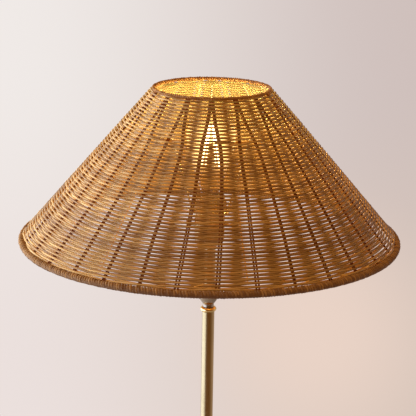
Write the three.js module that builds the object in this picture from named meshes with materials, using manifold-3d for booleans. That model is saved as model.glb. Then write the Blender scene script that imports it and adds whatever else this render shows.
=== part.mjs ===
// A floor lamp: a weighted brass base, a three-piece brass pole, an E27 lampholder
// with a push-through switch, a filament bulb and a woven rattan shade.
// Millimetres, +Z up, origin on the floor under the pole's axis, front towards -Y.

import * as THREE from 'three';
import { mergeVertices } from 'three/addons/utils/BufferGeometryUtils.js';
import Module from 'manifold-3d';

const kernel = await Module();
kernel.setup();

// Fits
const seatGap = 0.3;
const threadGap = 0.3;
const boreGap = 0.4;

// Base
const feltInset = 7;
const feltThickness = 3;
const coverRadius = 140;
const coverWall = 1.3;
const coverLift = 2;
const coverEdge = 16;
const coverShoulder = 5;
const coverHeight = 44;
const hubRadius = 21;
const hubRound = 3;
const weightClearance = 0.7;
const weightThickness = 14.5;
const bossRadius = 24;
const bossHeight = 27.7;
const recessRadius = 17;
const recessDepth = 21.9;
const nippleRadius = 4.85;
const nippleWall = 1.45;
const nippleLength = 49;
const nutAcrossFlats = 14;
const nutThickness = 5.5;
const washerRadius = 11;
const washerThickness = 1.5;
const spacerRadius = 9;
const glandHeight = 10;
const glandBore = 3.2;
const glandWall = 0.9;
const glandFlangeRadius = 5.8;
const glandFlange = 2;
const glandDepth = 3.4;

// Lead and its terminals
const leadRadius = 2.3;
const leadBend = 10;
const leadLift = 0.5;
const blockDistance = 62;
const blockWidth = 16;
const blockLength = 25;
const blockHeight = 9.5;
const blockBarrel = 3.4;
const blockWireHole = 1.4;
const blockScrewHole = 1.1;

// Foot and pole
const collarRadius = 20;
const collarHeight = 24;
const collarSeat = 8;
const collarWall = 2.6;
const tubeRadius = 8.25;
const tubeWall = 1.2;
const sectionLength = 363.6;
const plugLength = 18;
const joinerFlange = 1.6;
const joinerBore = 3.6;

// Turned pieces under the lampholder
const beadRadius = 11;
const beadHeight = 6;
const neckRadius = 7.4;
const neckHeight = 3.5;
const bowlRadius = 16;
const bowlHeight = 21.5;
const bowlRim = 3;
const bowlShoulder = 4.7;
const stemLength = 48.4;
const rodStart = 14;

// Lampholder
const holderRadius = 19.6;
const holderWall = 1.3;
const capNeckRadius = 9.5;
const capNeckHeight = 4;
const capHeight = 24;
const capThreadLength = 6;
const shellLength = 46.7;
const shadeFlangeRadius = 23;
const shadeFlangeHeight = 23.7;
const shadeFlange = 2;
const insertHeight = 9;
const insertLength = 55;
const socketDepth = 21;
const socketRadius = 13.5;
const socketWall = 0.8;
const socketLip = 1;
const contactThickness = 0.6;
const contactRise = 1.6;
const contactWidth = 6;
const terminalScrewRadius = 1.9;
const terminalScrewLength = 5;
const terminalHeadRadius = 2.8;
const terminalHead = 1.6;
const terminalOffset = 8;
const grubRadius = 1.5;
const grubHeight = 2;
const ringRadius = 21.9;
const ringHeight = 9.8;
const ringFlange = 2;
const ringRibs = 20;
const ringRibDepth = 0.5;

// Switch bar, shown pushed in from its right-hand end
const barRadius = 2.5;
const barHeight = 32;
const barTravel = 6;
const barStandOff = 0.5;
const buttonRadius = 4;
const buttonLength = 5;

// Bulb
const bulbCapRadius = 13.1;
const bulbCapLength = 23;
const bulbCapWall = 0.6;
const bulbCapFloor = 5;
const bulbContactRadius = 4.6;
const bulbContactHeight = 1.6;
const bulbNeckLength = 8;
const bulbLength = 140;
const bulbRadius = 32;
const bulbWidest = 105;
const bulbWall = 0.8;
const driverWidth = 10;
const driverHeight = 9;
const driverThickness = 1.6;
const stemFootRise = 19;
const glassStemTop = 59;
const glassStemRadius = 2.6;
const filamentCount = 4;
const filamentRadius = 1;
const filamentFoot = 13;
const filamentHead = 3.3;
const filamentRise = 53;
const supportWire = 0.5;

// Shade
const shadeLowerRadius = 242;
const shadeUpperRadius = 76;
const shadeRise = 192;
const shadeWall = 6.4;
const weaveHollow = 2.8;
const stakePairs = 16;
const lowerRimWidth = 9.6;
const lowerRimHeight = 9.6;
const upperRimWidth = 6;
const upperRimHeight = 4.8;
const fitterAboveFoot = 32;
const fitterRingRadius = 28;
const fitterRingThickness = 1.6;
const fitterHoleGap = 0.9;
const fitterArmCount = 3;
const fitterWire = 1.4;
const topRingDrop = 3.2;

// Roundness
const fineSides = 20;
const innerSides = 16;
const baseSides = 36;
const shadeSides = 64;
const upperRimSides = 40;
const wireSides = 8;

// Finishes
const brass = { color: 0x8f6f43, roughness: 0.32, metalness: 1 };
const bareBrass = { color: 0xb8964f, roughness: 0.4, metalness: 1 };
const steel = { color: 0x9a9a98, roughness: 0.45, metalness: 1 };
const iron = { color: 0x3a3a3a, roughness: 0.8, metalness: 0.6 };
const felt = { color: 0x2b2a28, roughness: 1, metalness: 0 };
const cane = { color: 0xa97b46, roughness: 0.7, metalness: 0 };
const paleCane = { color: 0x9c7040, roughness: 0.65, metalness: 0 };
const porcelain = { color: 0xe9e6de, roughness: 0.3, metalness: 0 };
const blackPlastic = { color: 0x1c1b1a, roughness: 0.5, metalness: 0 };
const whitePlastic = { color: 0xe4e0d6, roughness: 0.5, metalness: 0 };
const clearGlass = { color: 0xf4efe4, roughness: 0.05, metalness: 0, transparent: true, opacity: 0.3 };
const glow = { color: 0xffc36a, roughness: 0.5, metalness: 0, emissive: 0xffa640 };
const circuitBoard = { color: 0x2f6b3c, roughness: 0.6, metalness: 0 };

// Geometry with one vertex at each corner and every face pointing outwards
function closedGeometry(geometry) {
  geometry.deleteAttribute('normal');
  geometry.deleteAttribute('uv');
  const merged = mergeVertices(geometry, 1e-4);
  const position = merged.getAttribute('position');
  const corner = [0, 1, 2].map(() => new THREE.Vector3());
  const faces = [];
  let volume = 0;
  for (let i = 0; i < merged.index.count; i += 3) {
    const [a, b, c] = [0, 1, 2].map((k) => merged.index.getX(i + k));
    if (a === b || b === c || c === a) continue;
    faces.push(a, b, c);
    [a, b, c].forEach((vertex, k) => corner[k].fromBufferAttribute(position, vertex));
    volume += corner[0].dot(corner[1].clone().cross(corner[2]));
  }
  merged.setIndex(volume < 0 ? faces.reverse() : faces);
  return merged;
}

function toSolid(geometry) {
  const closed = closedGeometry(geometry);
  return new kernel.Manifold(new kernel.Mesh({
    numProp: 3,
    vertProperties: new Float32Array(closed.getAttribute('position').array),
    triVerts: new Uint32Array(closed.index.array),
  }));
}

function toGeometry(solid) {
  const mesh = solid.getMesh();
  const geometry = new THREE.BufferGeometry();
  geometry.setAttribute('position', new THREE.BufferAttribute(mesh.vertProperties, 3));
  geometry.setIndex(new THREE.BufferAttribute(mesh.triVerts, 1));
  return geometry;
}

function cut(geometry, ...tools) {
  return toGeometry(tools.reduce((solid, tool) => solid.subtract(toSolid(tool)), toSolid(geometry)));
}

function join(geometry, ...others) {
  return toGeometry(others.reduce((solid, other) => solid.add(toSolid(other)), toSolid(geometry)));
}

function common(geometry, other) {
  return toGeometry(toSolid(geometry).intersect(toSolid(other)));
}

// Outlines are lists of [radius, height] pairs
function curve(start, startPull, endPull, end, steps) {
  const path = new THREE.CubicBezierCurve(
    new THREE.Vector2(...start),
    new THREE.Vector2(...startPull),
    new THREE.Vector2(...endPull),
    new THREE.Vector2(...end),
  );
  return path.getPoints(steps).map((point) => [point.x, point.y]);
}

function arc(centre, radius, from, to, steps) {
  return Array.from({ length: steps + 1 }, (_, i) => {
    const angle = THREE.MathUtils.degToRad(from + (to - from) * i / steps);
    return [centre[0] + radius * Math.cos(angle), centre[1] + radius * Math.sin(angle)];
  });
}

// The same outline moved inwards by a wall, with its corners kept sharp
function insetOutline(outline, wall) {
  const points = outline.map((point) => new THREE.Vector2(...point));
  const sideOf = (a, b) => new THREE.Vector2(b.y - a.y, a.x - b.x).normalize();
  return points.map((point, i) => {
    const before = sideOf(points[Math.max(i - 1, 0)], points[Math.max(i, 1)]);
    const last = points.length - 1;
    const after = sideOf(points[Math.min(i, last - 1)], points[Math.min(i + 1, last)]);
    const side = before.clone().add(after).normalize();
    const moved = point.clone().addScaledVector(side, -wall / side.dot(before));
    return [Math.max(moved.x, 0), moved.y];
  });
}

function shellOutline(outline, wall) {
  return [...outline, ...insetOutline(outline, wall).reverse()];
}

// A solid of revolution about +Z; the outline closes on itself
function revolve(outline, sides = fineSides) {
  const points = [...outline, outline[0]].map(([radius, height]) => new THREE.Vector2(radius, height));
  return closedGeometry(new THREE.LatheGeometry(points, sides).rotateX(Math.PI / 2));
}

// A closed ring-shaped skin through loops of points, each loop joined to the next
function loftedLoops(loops) {
  const count = loops[0].length;
  const corners = [];
  loops.forEach((loop, i) => {
    const next = loops[(i + 1) % loops.length];
    for (let j = 0; j < count; j += 1) {
      const k = (j + 1) % count;
      corners.push(loop[j], loop[k], next[k], loop[j], next[k], next[j]);
    }
  });
  return closedGeometry(new THREE.BufferGeometry().setFromPoints(corners));
}

function sleeve(outer, inner, length, sides = fineSides) {
  return revolve([[inner, 0], [outer, 0], [outer, length], [inner, length]], sides);
}

function disc(radius, length, sides = fineSides) {
  return revolve([[0, 0], [radius, 0], [radius, length], [0, length]], sides);
}

function box(width, depth, height) {
  return new THREE.BoxGeometry(width, depth, height);
}

// A round rod between two points
function rod(from, to, radius, sides = wireSides) {
  const start = new THREE.Vector3(...from);
  const along = new THREE.Vector3(...to).sub(start);
  const turn = new THREE.Quaternion().setFromUnitVectors(
    new THREE.Vector3(0, 0, 1),
    along.clone().normalize(),
  );
  const geometry = disc(radius, along.length(), sides);
  return geometry.applyQuaternion(turn).translate(start.x, start.y, start.z);
}

// Base heights above the floor
const weightFoot = feltThickness + seatGap;
const channelTop = glandHeight + glandBore + glandWall + boreGap;
const leadHeight = weightFoot + leadLift + leadRadius;
const nippleFoot = leadHeight + leadBend + seatGap;
const hubUnderside = coverHeight - coverWall;
const weightRadius = coverRadius - coverWall - weightClearance;
const feltRadius = coverRadius - feltInset;
const studBore = nippleRadius + threadGap;

function coverOutline() {
  const shoulderFoot = coverLift + coverEdge;
  return [
    [coverRadius, coverLift],
    ...arc([coverRadius - coverShoulder, shoulderFoot], coverShoulder, 0, 90, 2),
    ...curve(
      [coverRadius - coverShoulder, shoulderFoot + coverShoulder],
      [coverRadius * 0.52, shoulderFoot + coverShoulder + 1.5],
      [hubRadius * 1.6, coverHeight - 16],
      [hubRadius, coverHeight - hubRound],
      5,
    ).slice(1, -1),
    ...arc([hubRadius - hubRound, coverHeight - hubRound], hubRound, 0, 90, 2),
    [studBore, coverHeight],
  ];
}

function baseCover() {
  const shell = revolve(shellOutline(coverOutline(), coverWall), baseSides);
  const glandHole = rod(
    [0, coverRadius - 2 * coverWall - 1, glandHeight],
    [0, coverRadius + 1, glandHeight],
    glandBore + glandWall + seatGap,
    innerSides,
  );
  return cut(shell, glandHole);
}

function baseWeight() {
  const casting = revolve([
    [recessRadius, 0],
    [weightRadius, 0],
    [weightRadius, weightThickness],
    [bossRadius, weightThickness],
    [bossRadius, bossHeight],
    [studBore, bossHeight],
    [studBore, recessDepth],
    [recessRadius, recessDepth],
  ], baseSides);
  const channelWidth = 2 * (glandBore + glandWall + boreGap);
  const channelHeight = channelTop - weightFoot;
  const channel = box(channelWidth, weightRadius + 1, 2 * channelHeight)
    .translate(0, (weightRadius + 1) / 2, 0);
  const pocketHeight = blockHeight + leadLift + 2 * seatGap;
  const pocket = box(blockWidth + 2 * boreGap, blockLength + 2 * boreGap, 2 * pocketHeight)
    .translate(0, blockDistance, 0);
  return cut(casting, channel, pocket);
}

function baseNut() {
  const outline = new THREE.Shape();
  const cornerRadius = nutAcrossFlats / 2 / Math.cos(Math.PI / 6);
  for (let i = 0; i < 6; i += 1) {
    const angle = i * Math.PI / 3;
    const move = i === 0 ? 'moveTo' : 'lineTo';
    outline[move](cornerRadius * Math.cos(angle), cornerRadius * Math.sin(angle));
  }
  outline.holes.push(new THREE.Path().absarc(0, 0, studBore, 0, 2 * Math.PI));
  return closedGeometry(new THREE.ExtrudeGeometry(outline, {
    depth: nutThickness,
    bevelEnabled: false,
    curveSegments: innerSides / 2,
  }));
}

// A bush in the rear of the cover's edge, on an axis along +Y
function cordGland() {
  const neck = glandBore + glandWall;
  const bush = revolve([
    [glandBore, 0],
    [neck, 0],
    [neck, glandDepth],
    [glandFlangeRadius, glandDepth],
    [glandFlangeRadius, glandDepth + glandFlange * 0.6],
    [glandFlangeRadius - glandFlange * 0.4, glandDepth + glandFlange],
    [glandBore, glandDepth + glandFlange],
  ], innerSides);
  return bush.rotateX(-Math.PI / 2);
}

// A two-way connector: two clamp barrels under a flat back
function terminalBlock() {
  const half = blockWidth / 2;
  const barrelOffset = half - blockBarrel - 0.8;
  const outline = new THREE.Shape();
  outline.moveTo(-half, blockHeight);
  outline.lineTo(-half, blockHeight - 2);
  outline.absarc(-barrelOffset, blockBarrel, blockBarrel, Math.PI, 2 * Math.PI, false);
  outline.absarc(barrelOffset, blockBarrel, blockBarrel, Math.PI, 2 * Math.PI, false);
  outline.lineTo(half, blockHeight - 2);
  outline.lineTo(half, blockHeight);
  for (const side of [-1, 1]) {
    const hole = new THREE.Path();
    hole.absarc(side * barrelOffset, blockBarrel, blockWireHole, 0, 2 * Math.PI);
    outline.holes.push(hole);
  }
  const body = new THREE.ExtrudeGeometry(outline, {
    depth: blockLength,
    bevelEnabled: false,
    curveSegments: 4,
  }).rotateX(Math.PI / 2).translate(0, blockLength / 2, 0);
  const screwHoles = [-1, 1].flatMap((side) => [-1, 1].map((end) => {
    const place = [side * barrelOffset, end * blockLength / 4];
    return rod([...place, -1], [...place, blockBarrel], blockScrewHole);
  }));
  return cut(body, ...screwHoles);
}

// The lead leaves the terminals along the channel, turns up and fills the pole's axis
function innerLead(length) {
  const section = new THREE.Shape().absarc(0, 0, leadRadius, 0, 2 * Math.PI);
  const start = blockDistance - blockLength / 2 - seatGap;
  const route = new THREE.CurvePath();
  const corner = [
    new THREE.Vector3(0, start, leadHeight),
    new THREE.Vector3(0, leadBend, leadHeight),
  ];
  route.add(new THREE.LineCurve3(...corner));
  const bend = arc([leadBend, leadHeight + leadBend], leadBend, -90, -180, 8)
    .map(([y, z]) => new THREE.Vector3(0, y, z));
  route.add(new THREE.CatmullRomCurve3(bend));
  const foot = new THREE.ExtrudeGeometry(section, {
    steps: 20,
    curveSegments: wireSides / 2,
    bevelEnabled: false,
    extrudePath: route,
  });
  const bendTop = leadHeight + leadBend;
  const rise = rod([0, 0, bendTop - 1], [0, 0, length], leadRadius);
  return join(foot, rise);
}

function footCollar() {
  const topRadius = tubeRadius + boreGap + collarWall;
  return revolve([
    [studBore, 0],
    [collarRadius, 0],
    [collarRadius, 3],
    ...curve(
      [collarRadius - 1.2, 4.2],
      [topRadius + 1, 5.5],
      [topRadius + 0.2, 9],
      [topRadius, collarHeight - 5],
      4,
    ),
    ...arc([topRadius - 0.8, collarHeight - 2.2], 2, -60, 90, 3),
    [tubeRadius + boreGap, collarHeight - 0.2],
    [tubeRadius + boreGap, collarSeat],
    [studBore, collarSeat],
  ]);
}

function poleTube(length) {
  return sleeve(tubeRadius, tubeRadius - tubeWall, length);
}

function tubePlug() {
  return sleeve(tubeRadius - tubeWall - threadGap, studBore, plugLength, innerSides);
}

// A stud that screws into two tubes, with a fine flange that shows between them
function poleJoiner() {
  const inTube = tubeRadius - tubeWall - threadGap;
  const lower = plugLength;
  const upper = plugLength + joinerFlange;
  return revolve([
    [joinerBore, 0],
    [inTube, 0],
    [inTube, lower],
    [tubeRadius, lower],
    [tubeRadius, upper],
    [inTube, upper],
    [inTube, upper + plugLength],
    [joinerBore, upper + plugLength],
  ]);
}

function poleBead() {
  const half = beadHeight / 2;
  const side = beadRadius - half;
  return revolve([[studBore, 0], ...arc([side, half], half, -90, 90, 5), [studBore, beadHeight]]);
}

// A turned neck that opens into a bowl, closed by a low shoulder
function poleCup() {
  const bowlFoot = neckHeight;
  const bowlTop = bowlFoot + bowlHeight;
  const rimTop = bowlTop + bowlRim;
  const top = rimTop + bowlShoulder;
  return revolve([
    [studBore, 0],
    [neckRadius, 0],
    ...curve(
      [neckRadius, bowlFoot],
      [neckRadius * 1.1, bowlFoot + bowlHeight * 0.26],
      [bowlRadius * 0.83, bowlFoot + bowlHeight * 0.37],
      [bowlRadius, bowlTop],
      6,
    ),
    ...arc([bowlRadius - bowlRim / 2, bowlTop + bowlRim / 2], bowlRim / 2, 0, 90, 2),
    ...curve(
      [bowlRadius - bowlRim, rimTop],
      [tubeRadius + 3, rimTop + 0.8],
      [tubeRadius + 1.5, rimTop + 1.6],
      [tubeRadius + 0.8, top],
      3,
    ),
    [studBore, top],
  ]);
}

// Lampholder heights above the foot of its cap
const shellFoot = capHeight + seatGap;
const shellLedge = shellFoot + 1.7;
const shellInner = holderRadius - holderWall;
const skirtOuter = shellInner - threadGap;
const skirtInner = skirtOuter - 1.1;
const insertLower = skirtInner - boreGap;
const insertUpper = shellInner - boreGap;
const socketFloor = insertHeight + insertLength - socketDepth;
const socketOuter = socketRadius + socketWall;
const barBore = barRadius + boreGap;
const flangeTop = shellFoot + shadeFlangeHeight + shadeFlange;

function barHole() {
  const reach = holderRadius + 2;
  return rod([-reach, 0, barHeight], [reach, 0, barHeight], barBore, innerSides);
}

function holderCap() {
  const domeFoot = capNeckHeight;
  const domeTop = capHeight - 9;
  const outside = [
    [capNeckRadius, 0],
    [capNeckRadius, domeFoot],
    ...curve(
      [capNeckRadius + 1, domeFoot],
      [holderRadius * 0.85, domeFoot + 0.5],
      [holderRadius, domeFoot + 4],
      [holderRadius, domeTop],
      4,
    ),
    [holderRadius, capHeight],
  ];
  const inside = [
    [shellInner, capHeight],
    ...curve(
      [shellInner, domeTop],
      [shellInner, domeFoot + 5],
      [shellInner * 0.85, domeFoot + holderWall + 0.7],
      [capNeckRadius, domeFoot + holderWall + 0.6],
      4,
    ),
    [studBore, domeFoot + holderWall],
    [studBore, 0],
  ];
  const screwHole = rod(
    [0, studBore - 1, grubHeight],
    [0, capNeckRadius + 1, grubHeight],
    grubRadius + seatGap,
    12,
  );
  return cut(revolve([...outside, ...inside]), screwHole);
}

// A headless screw through the cap's neck, against the threaded rod
function grubScrew() {
  return disc(grubRadius, capNeckRadius - studBore, 12).rotateX(-Math.PI / 2);
}

function holderShell() {
  const top = shellFoot + shellLength;
  const sleeveOutline = revolve([
    [skirtInner, capHeight - capThreadLength],
    [skirtOuter, capHeight - capThreadLength],
    [skirtOuter, shellFoot],
    [holderRadius, shellFoot],
    [holderRadius, shellFoot + shadeFlangeHeight],
    [shadeFlangeRadius, shellFoot + shadeFlangeHeight],
    [shadeFlangeRadius, flangeTop],
    [holderRadius, flangeTop],
    [holderRadius, top - 0.8],
    [holderRadius - 0.8, top],
    [shellInner, top],
    [shellInner, shellLedge],
    [skirtInner, shellLedge],
  ]);
  return cut(sleeveOutline, barHole());
}

function holderInsert() {
  const top = insertHeight + insertLength;
  const core = revolve([
    [0, insertHeight],
    [insertLower, insertHeight],
    [insertLower, shellLedge + seatGap],
    [insertUpper, shellLedge + seatGap],
    [insertUpper, top],
    [socketOuter + seatGap, top],
    [socketOuter + seatGap, socketFloor],
    [0, socketFloor],
  ]);
  const holes = [-1, 1].map((side) => rod(
    [side * terminalOffset, 0, insertHeight - 1],
    [side * terminalOffset, 0, insertHeight + terminalScrewLength + 1],
    terminalScrewRadius + seatGap,
    12,
  ));
  return cut(core, barHole(), ...holes);
}

function screwSocket() {
  const foot = socketFloor + seatGap;
  const lipFoot = insertHeight + insertLength + seatGap;
  const lipRadius = socketOuter + 1.6;
  return revolve([
    [socketRadius, foot],
    [socketOuter, foot],
    [socketOuter, lipFoot],
    [lipRadius, lipFoot],
    [lipRadius, lipFoot + socketLip],
    [socketRadius, lipFoot + socketLip],
  ]);
}

// A spring tongue in the bottom of the socket, bent up to meet the bulb
function centreContact() {
  const outline = new THREE.Shape();
  outline.moveTo(-8, 0);
  outline.lineTo(-3, 0);
  outline.lineTo(2, contactRise);
  outline.lineTo(5, contactRise);
  outline.lineTo(5, contactRise + contactThickness);
  outline.lineTo(2, contactRise + contactThickness);
  outline.lineTo(-3.2, contactThickness);
  outline.lineTo(-8, contactThickness);
  const strip = new THREE.ExtrudeGeometry(outline, { depth: contactWidth, bevelEnabled: false });
  return closedGeometry(strip.rotateX(Math.PI / 2).translate(0, contactWidth / 2, 0));
}

function terminalScrew() {
  return revolve([
    [0, 0],
    [terminalHeadRadius, 0],
    [terminalHeadRadius, terminalHead],
    [terminalScrewRadius, terminalHead],
    [terminalScrewRadius, terminalHead + terminalScrewLength],
    [0, terminalHead + terminalScrewLength],
  ], 12);
}

// A threaded ring with a grip of upright ribs over a plain flange
function retainingRing() {
  const bore = holderRadius + threadGap;
  const grip = new THREE.Shape();
  const steps = ringRibs * 2;
  for (let i = 0; i < steps; i += 1) {
    const angle = i * 2 * Math.PI / steps;
    const radius = ringRadius - (i % 2) * ringRibDepth;
    const move = i === 0 ? 'moveTo' : 'lineTo';
    grip[move](radius * Math.cos(angle), radius * Math.sin(angle));
  }
  const body = new THREE.ExtrudeGeometry(grip, { depth: ringHeight, bevelEnabled: false });
  const flange = disc(shadeFlangeRadius, ringFlange, steps);
  const hole = disc(bore, ringHeight + 2, steps).translate(0, 0, -1);
  return cut(join(body, flange), hole);
}

// A bar along X with a button at each end, modelled about the middle of its travel
function switchBar() {
  const button = holderRadius + barStandOff + barTravel / 2;
  const end = button + buttonLength;
  const edge = 1;
  return revolve([
    [0, -end],
    [buttonRadius - edge, -end],
    [buttonRadius, -end + edge],
    [buttonRadius, -button],
    [barRadius, -button],
    [barRadius, button],
    [buttonRadius, button],
    [buttonRadius, end - edge],
    [buttonRadius - edge, end],
    [0, end],
  ], innerSides).rotateY(Math.PI / 2);
}

// Bulb heights above the tip of its centre contact
const bulbCapFoot = bulbContactHeight + seatGap;
const bulbCapTop = bulbCapFoot + bulbCapLength;
const bulbNeckRadius = bulbCapRadius - bulbCapWall - seatGap;
const filamentFootHeight = glassStemTop + 6;
const filamentTopHeight = filamentFootHeight + filamentRise;

function bulbContact() {
  return revolve([[0, 0], [bulbContactRadius - 1, 0], [bulbContactRadius, 0.8],
    [bulbContactRadius, bulbContactHeight], [0, bulbContactHeight]], innerSides);
}

function bulbCap() {
  return revolve([
    [0, bulbCapFoot],
    [bulbContactRadius + 0.6, bulbCapFoot],
    [bulbCapRadius - 3.5, bulbCapFoot + 2],
    [bulbCapRadius, bulbCapFoot + 3.6],
    [bulbCapRadius, bulbCapTop],
    [bulbCapRadius - bulbCapWall, bulbCapTop],
    [bulbCapRadius - bulbCapWall, bulbCapFoot + bulbCapFloor],
    [0, bulbCapFoot + bulbCapFloor],
  ]);
}

function bulbGlass() {
  const neckFoot = bulbCapTop - bulbNeckLength;
  const outline = [
    [bulbNeckRadius, neckFoot],
    ...curve(
      [bulbNeckRadius, bulbCapTop + 0.5],
      [bulbNeckRadius + 1.5, bulbCapTop + 22],
      [bulbRadius, bulbWidest - 30],
      [bulbRadius, bulbWidest],
      5,
    ),
    ...curve(
      [bulbRadius, bulbWidest],
      [bulbRadius, bulbWidest + 19],
      [bulbRadius * 0.42, bulbLength],
      [0, bulbLength],
      3,
    ).slice(1),
  ];
  return revolve(shellOutline(outline, bulbWall), innerSides);
}

function bulbDriver() {
  return box(driverWidth, driverThickness, driverHeight);
}

// The glass foot that closes the neck and carries the filaments
function bulbStem() {
  const foot = bulbCapFoot + stemFootRise;
  return revolve([
    [0, foot],
    [bulbNeckRadius - bulbWall - seatGap, foot],
    [bulbNeckRadius - bulbWall - seatGap, foot + 1.2],
    ...curve(
      [glassStemRadius + 4, foot + 2.4],
      [glassStemRadius + 1, foot + 4],
      [glassStemRadius, foot + 7],
      [glassStemRadius, foot + 14],
      4,
    ),
    [glassStemRadius, glassStemTop - 1],
    [glassStemRadius - 1, glassStemTop],
    [0, glassStemTop],
  ], 12);
}

function filamentAngle(i) {
  return Math.PI / 3 + i * 2 * Math.PI / filamentCount;
}

function around(radius, angle, height) {
  return [radius * Math.cos(angle), radius * Math.sin(angle), height];
}

function supportRod(from, to) {
  return rod(from, to, supportWire, 6);
}

// A centre wire with a star of short wires under and over the filaments
function bulbSupport() {
  const reach = supportWire + seatGap;
  const lower = filamentFootHeight - reach;
  const upper = filamentTopHeight + reach;
  const centre = supportRod([0, 0, glassStemTop + seatGap], [0, 0, upper + supportWire]);
  const stars = [];
  for (let i = 0; i < filamentCount; i += 1) {
    const angle = filamentAngle(i);
    stars.push(supportRod([0, 0, lower], around(filamentFoot + supportWire, angle, lower)));
    stars.push(supportRod([0, 0, upper], around(filamentHead + supportWire, angle, upper)));
  }
  return join(centre, ...stars);
}

function filament(i) {
  const tilt = 0.2;
  const foot = around(filamentFoot, filamentAngle(i), filamentFootHeight + tilt);
  const head = around(filamentHead, filamentAngle(i), filamentTopHeight - tilt);
  return closedGeometry(rod(foot, head, filamentRadius));
}

// The middle of the shade's wall, from its lower to its upper end,
// with heights above the seat of the fitter ring
const wallFoot = new THREE.Vector2(shadeLowerRadius, -fitterAboveFoot);
const wallHead = new THREE.Vector2(shadeUpperRadius, shadeRise - fitterAboveFoot);
const wallAlong = wallHead.clone().sub(wallFoot).normalize();
const wallOut = new THREE.Vector2(wallAlong.y, -wallAlong.x);

function wallPoint(end, along, out) {
  const point = end.clone().addScaledVector(wallAlong, along).addScaledVector(wallOut, out);
  return [point.x, point.y];
}

// Where the stakes stand, in degrees, from the head of the wall to its foot: pairs that
// part and then lean a little. The weave is thick over a stake and thin between stakes.
const wallLength = wallHead.distanceTo(wallFoot);
const weaveLevels = [
  { drop: seatGap, parting: 0.9, lean: 0, pairHollow: shadeWall },
  { drop: wallLength * 0.26, parting: 5.2, lean: 0, pairHollow: weaveHollow },
  { drop: wallLength - seatGap, parting: 5.6, lean: -3, pairHollow: weaveHollow },
];

// Angle and thickness of the wall at each ridge and hollow of one level
function weaveRound({ parting, lean, pairHollow }) {
  const step = 360 / stakePairs;
  return Array.from({ length: stakePairs }, (_, i) => {
    const middle = i * step + lean;
    return [
      [middle - parting, shadeWall],
      [middle, pairHollow],
      [middle + parting, shadeWall],
      [middle + step / 2, weaveHollow],
    ];
  }).flat();
}

function shadeWeave() {
  const rings = weaveLevels.map((level) => [-1, 1].map((side) => (
    weaveRound(level).map(([angle, thickness]) => {
      const [radius, height] = wallPoint(wallHead, -level.drop, side * thickness / 2);
      const turn = THREE.MathUtils.degToRad(angle);
      return new THREE.Vector3(radius * Math.sin(turn), -radius * Math.cos(turn), height);
    }))));
  const [head, middle, foot] = rings;
  const loops = [head[0], head[1], middle[1], foot[1], foot[0], middle[0]];
  return loftedLoops(loops);
}

// A wrapped rim: flat against the wall's end, full and round beyond it
function shadeRim(end, direction, width, height, sides) {
  const fullness = 0.7;
  const steps = 6;
  const outline = Array.from({ length: steps + 1 }, (_, i) => {
    const angle = i * Math.PI / steps;
    const across = Math.sign(Math.cos(angle)) * Math.abs(Math.cos(angle)) ** fullness;
    const along = i === 0 || i === steps ? 0 : Math.sin(angle) ** fullness;
    return wallPoint(end, direction * height * along, width / 2 * across);
  });
  return revolve(outline, sides);
}

// The wire ring lies against the inside of the wall, just under the upper rim
const topRingCentre = new THREE.Vector2(
  ...wallPoint(wallHead, -topRingDrop, -(shadeWall / 2 + seatGap + fitterWire)),
);

function fitterTopRing() {
  const section = arc([topRingCentre.x, topRingCentre.y], fitterWire, 0, 360, 6).slice(1);
  return revolve(section, baseSides);
}

function fitterRing() {
  const hole = holderRadius + fitterHoleGap;
  return sleeve(fitterRingRadius, hole, fitterRingThickness, baseSides);
}

// A straight wire from the fitter ring's edge to the top ring, cut level at both ends
function fitterArm(i) {
  const angle = Math.PI / 2 + i * 2 * Math.PI / fitterArmCount;
  const inner = fitterRingRadius - fitterWire - 0.4;
  const foot = fitterRingThickness + seatGap;
  const head = topRingCentre.y - fitterWire - seatGap;
  const slope = (topRingCentre.x - inner) / (head - foot);
  const spare = 5;
  const wire = rod(
    around(inner - slope * spare, angle, foot - spare),
    around(topRingCentre.x + slope * spare, angle, head + spare),
    fitterWire,
    12,
  );
  const reach = 2 * shadeUpperRadius + 20;
  const slab = box(reach, reach, head - foot).translate(0, 0, (head + foot) / 2);
  return common(wire, slab);
}

function piece(name, geometry, finish, height = 0) {
  const material = new THREE.MeshStandardMaterial({ ...finish, flatShading: true });
  const mesh = new THREE.Mesh(geometry, material);
  mesh.name = name;
  mesh.position.z = height;
  return mesh;
}

function stack(height, ...pieces) {
  const group = new THREE.Group();
  group.position.z = height;
  group.add(...pieces);
  return group;
}

// Heights of the stack, each from the piece below it
const nutSeat = weightFoot + recessDepth - seatGap - washerThickness;
const collarFoot = coverHeight + seatGap;
const poleFoot = collarFoot + collarSeat + seatGap;
const joinPitch = sectionLength + joinerFlange + 2 * seatGap;
const poleTop = poleFoot + 2 * joinPitch + sectionLength;
const beadFoot = poleTop + seatGap;
const cupFoot = beadFoot + beadHeight + seatGap;
const cupHeight = neckHeight + bowlHeight + bowlRim + bowlShoulder;
const stemFoot = cupFoot + cupHeight + seatGap;
const holderFoot = stemFoot + stemLength + seatGap;
const rodFoot = poleTop - rodStart;
const rodTop = holderFoot + capNeckHeight + holderWall + 1;
const fitterSeat = holderFoot + flangeTop + seatGap;
const ringSeat = fitterSeat + fitterRingThickness + seatGap;
const contactSeat = holderFoot + socketFloor + seatGap;
const bulbFoot = contactSeat + contactRise + contactThickness + seatGap;

const blockFoot = leadLift + seatGap + weightFoot;
const terminalFoot = insertHeight - seatGap - terminalHead;
const nippleBore = nippleRadius - nippleWall;
const spacerLength = hubUnderside - weightFoot - bossHeight - 2 * seatGap;

const gland = piece('cord_gland', cordGland(), blackPlastic, glandHeight);
gland.position.y = coverRadius + seatGap - glandDepth;
const block = piece('terminal_block', terminalBlock(), whitePlastic, blockFoot);
block.position.y = blockDistance;

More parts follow.
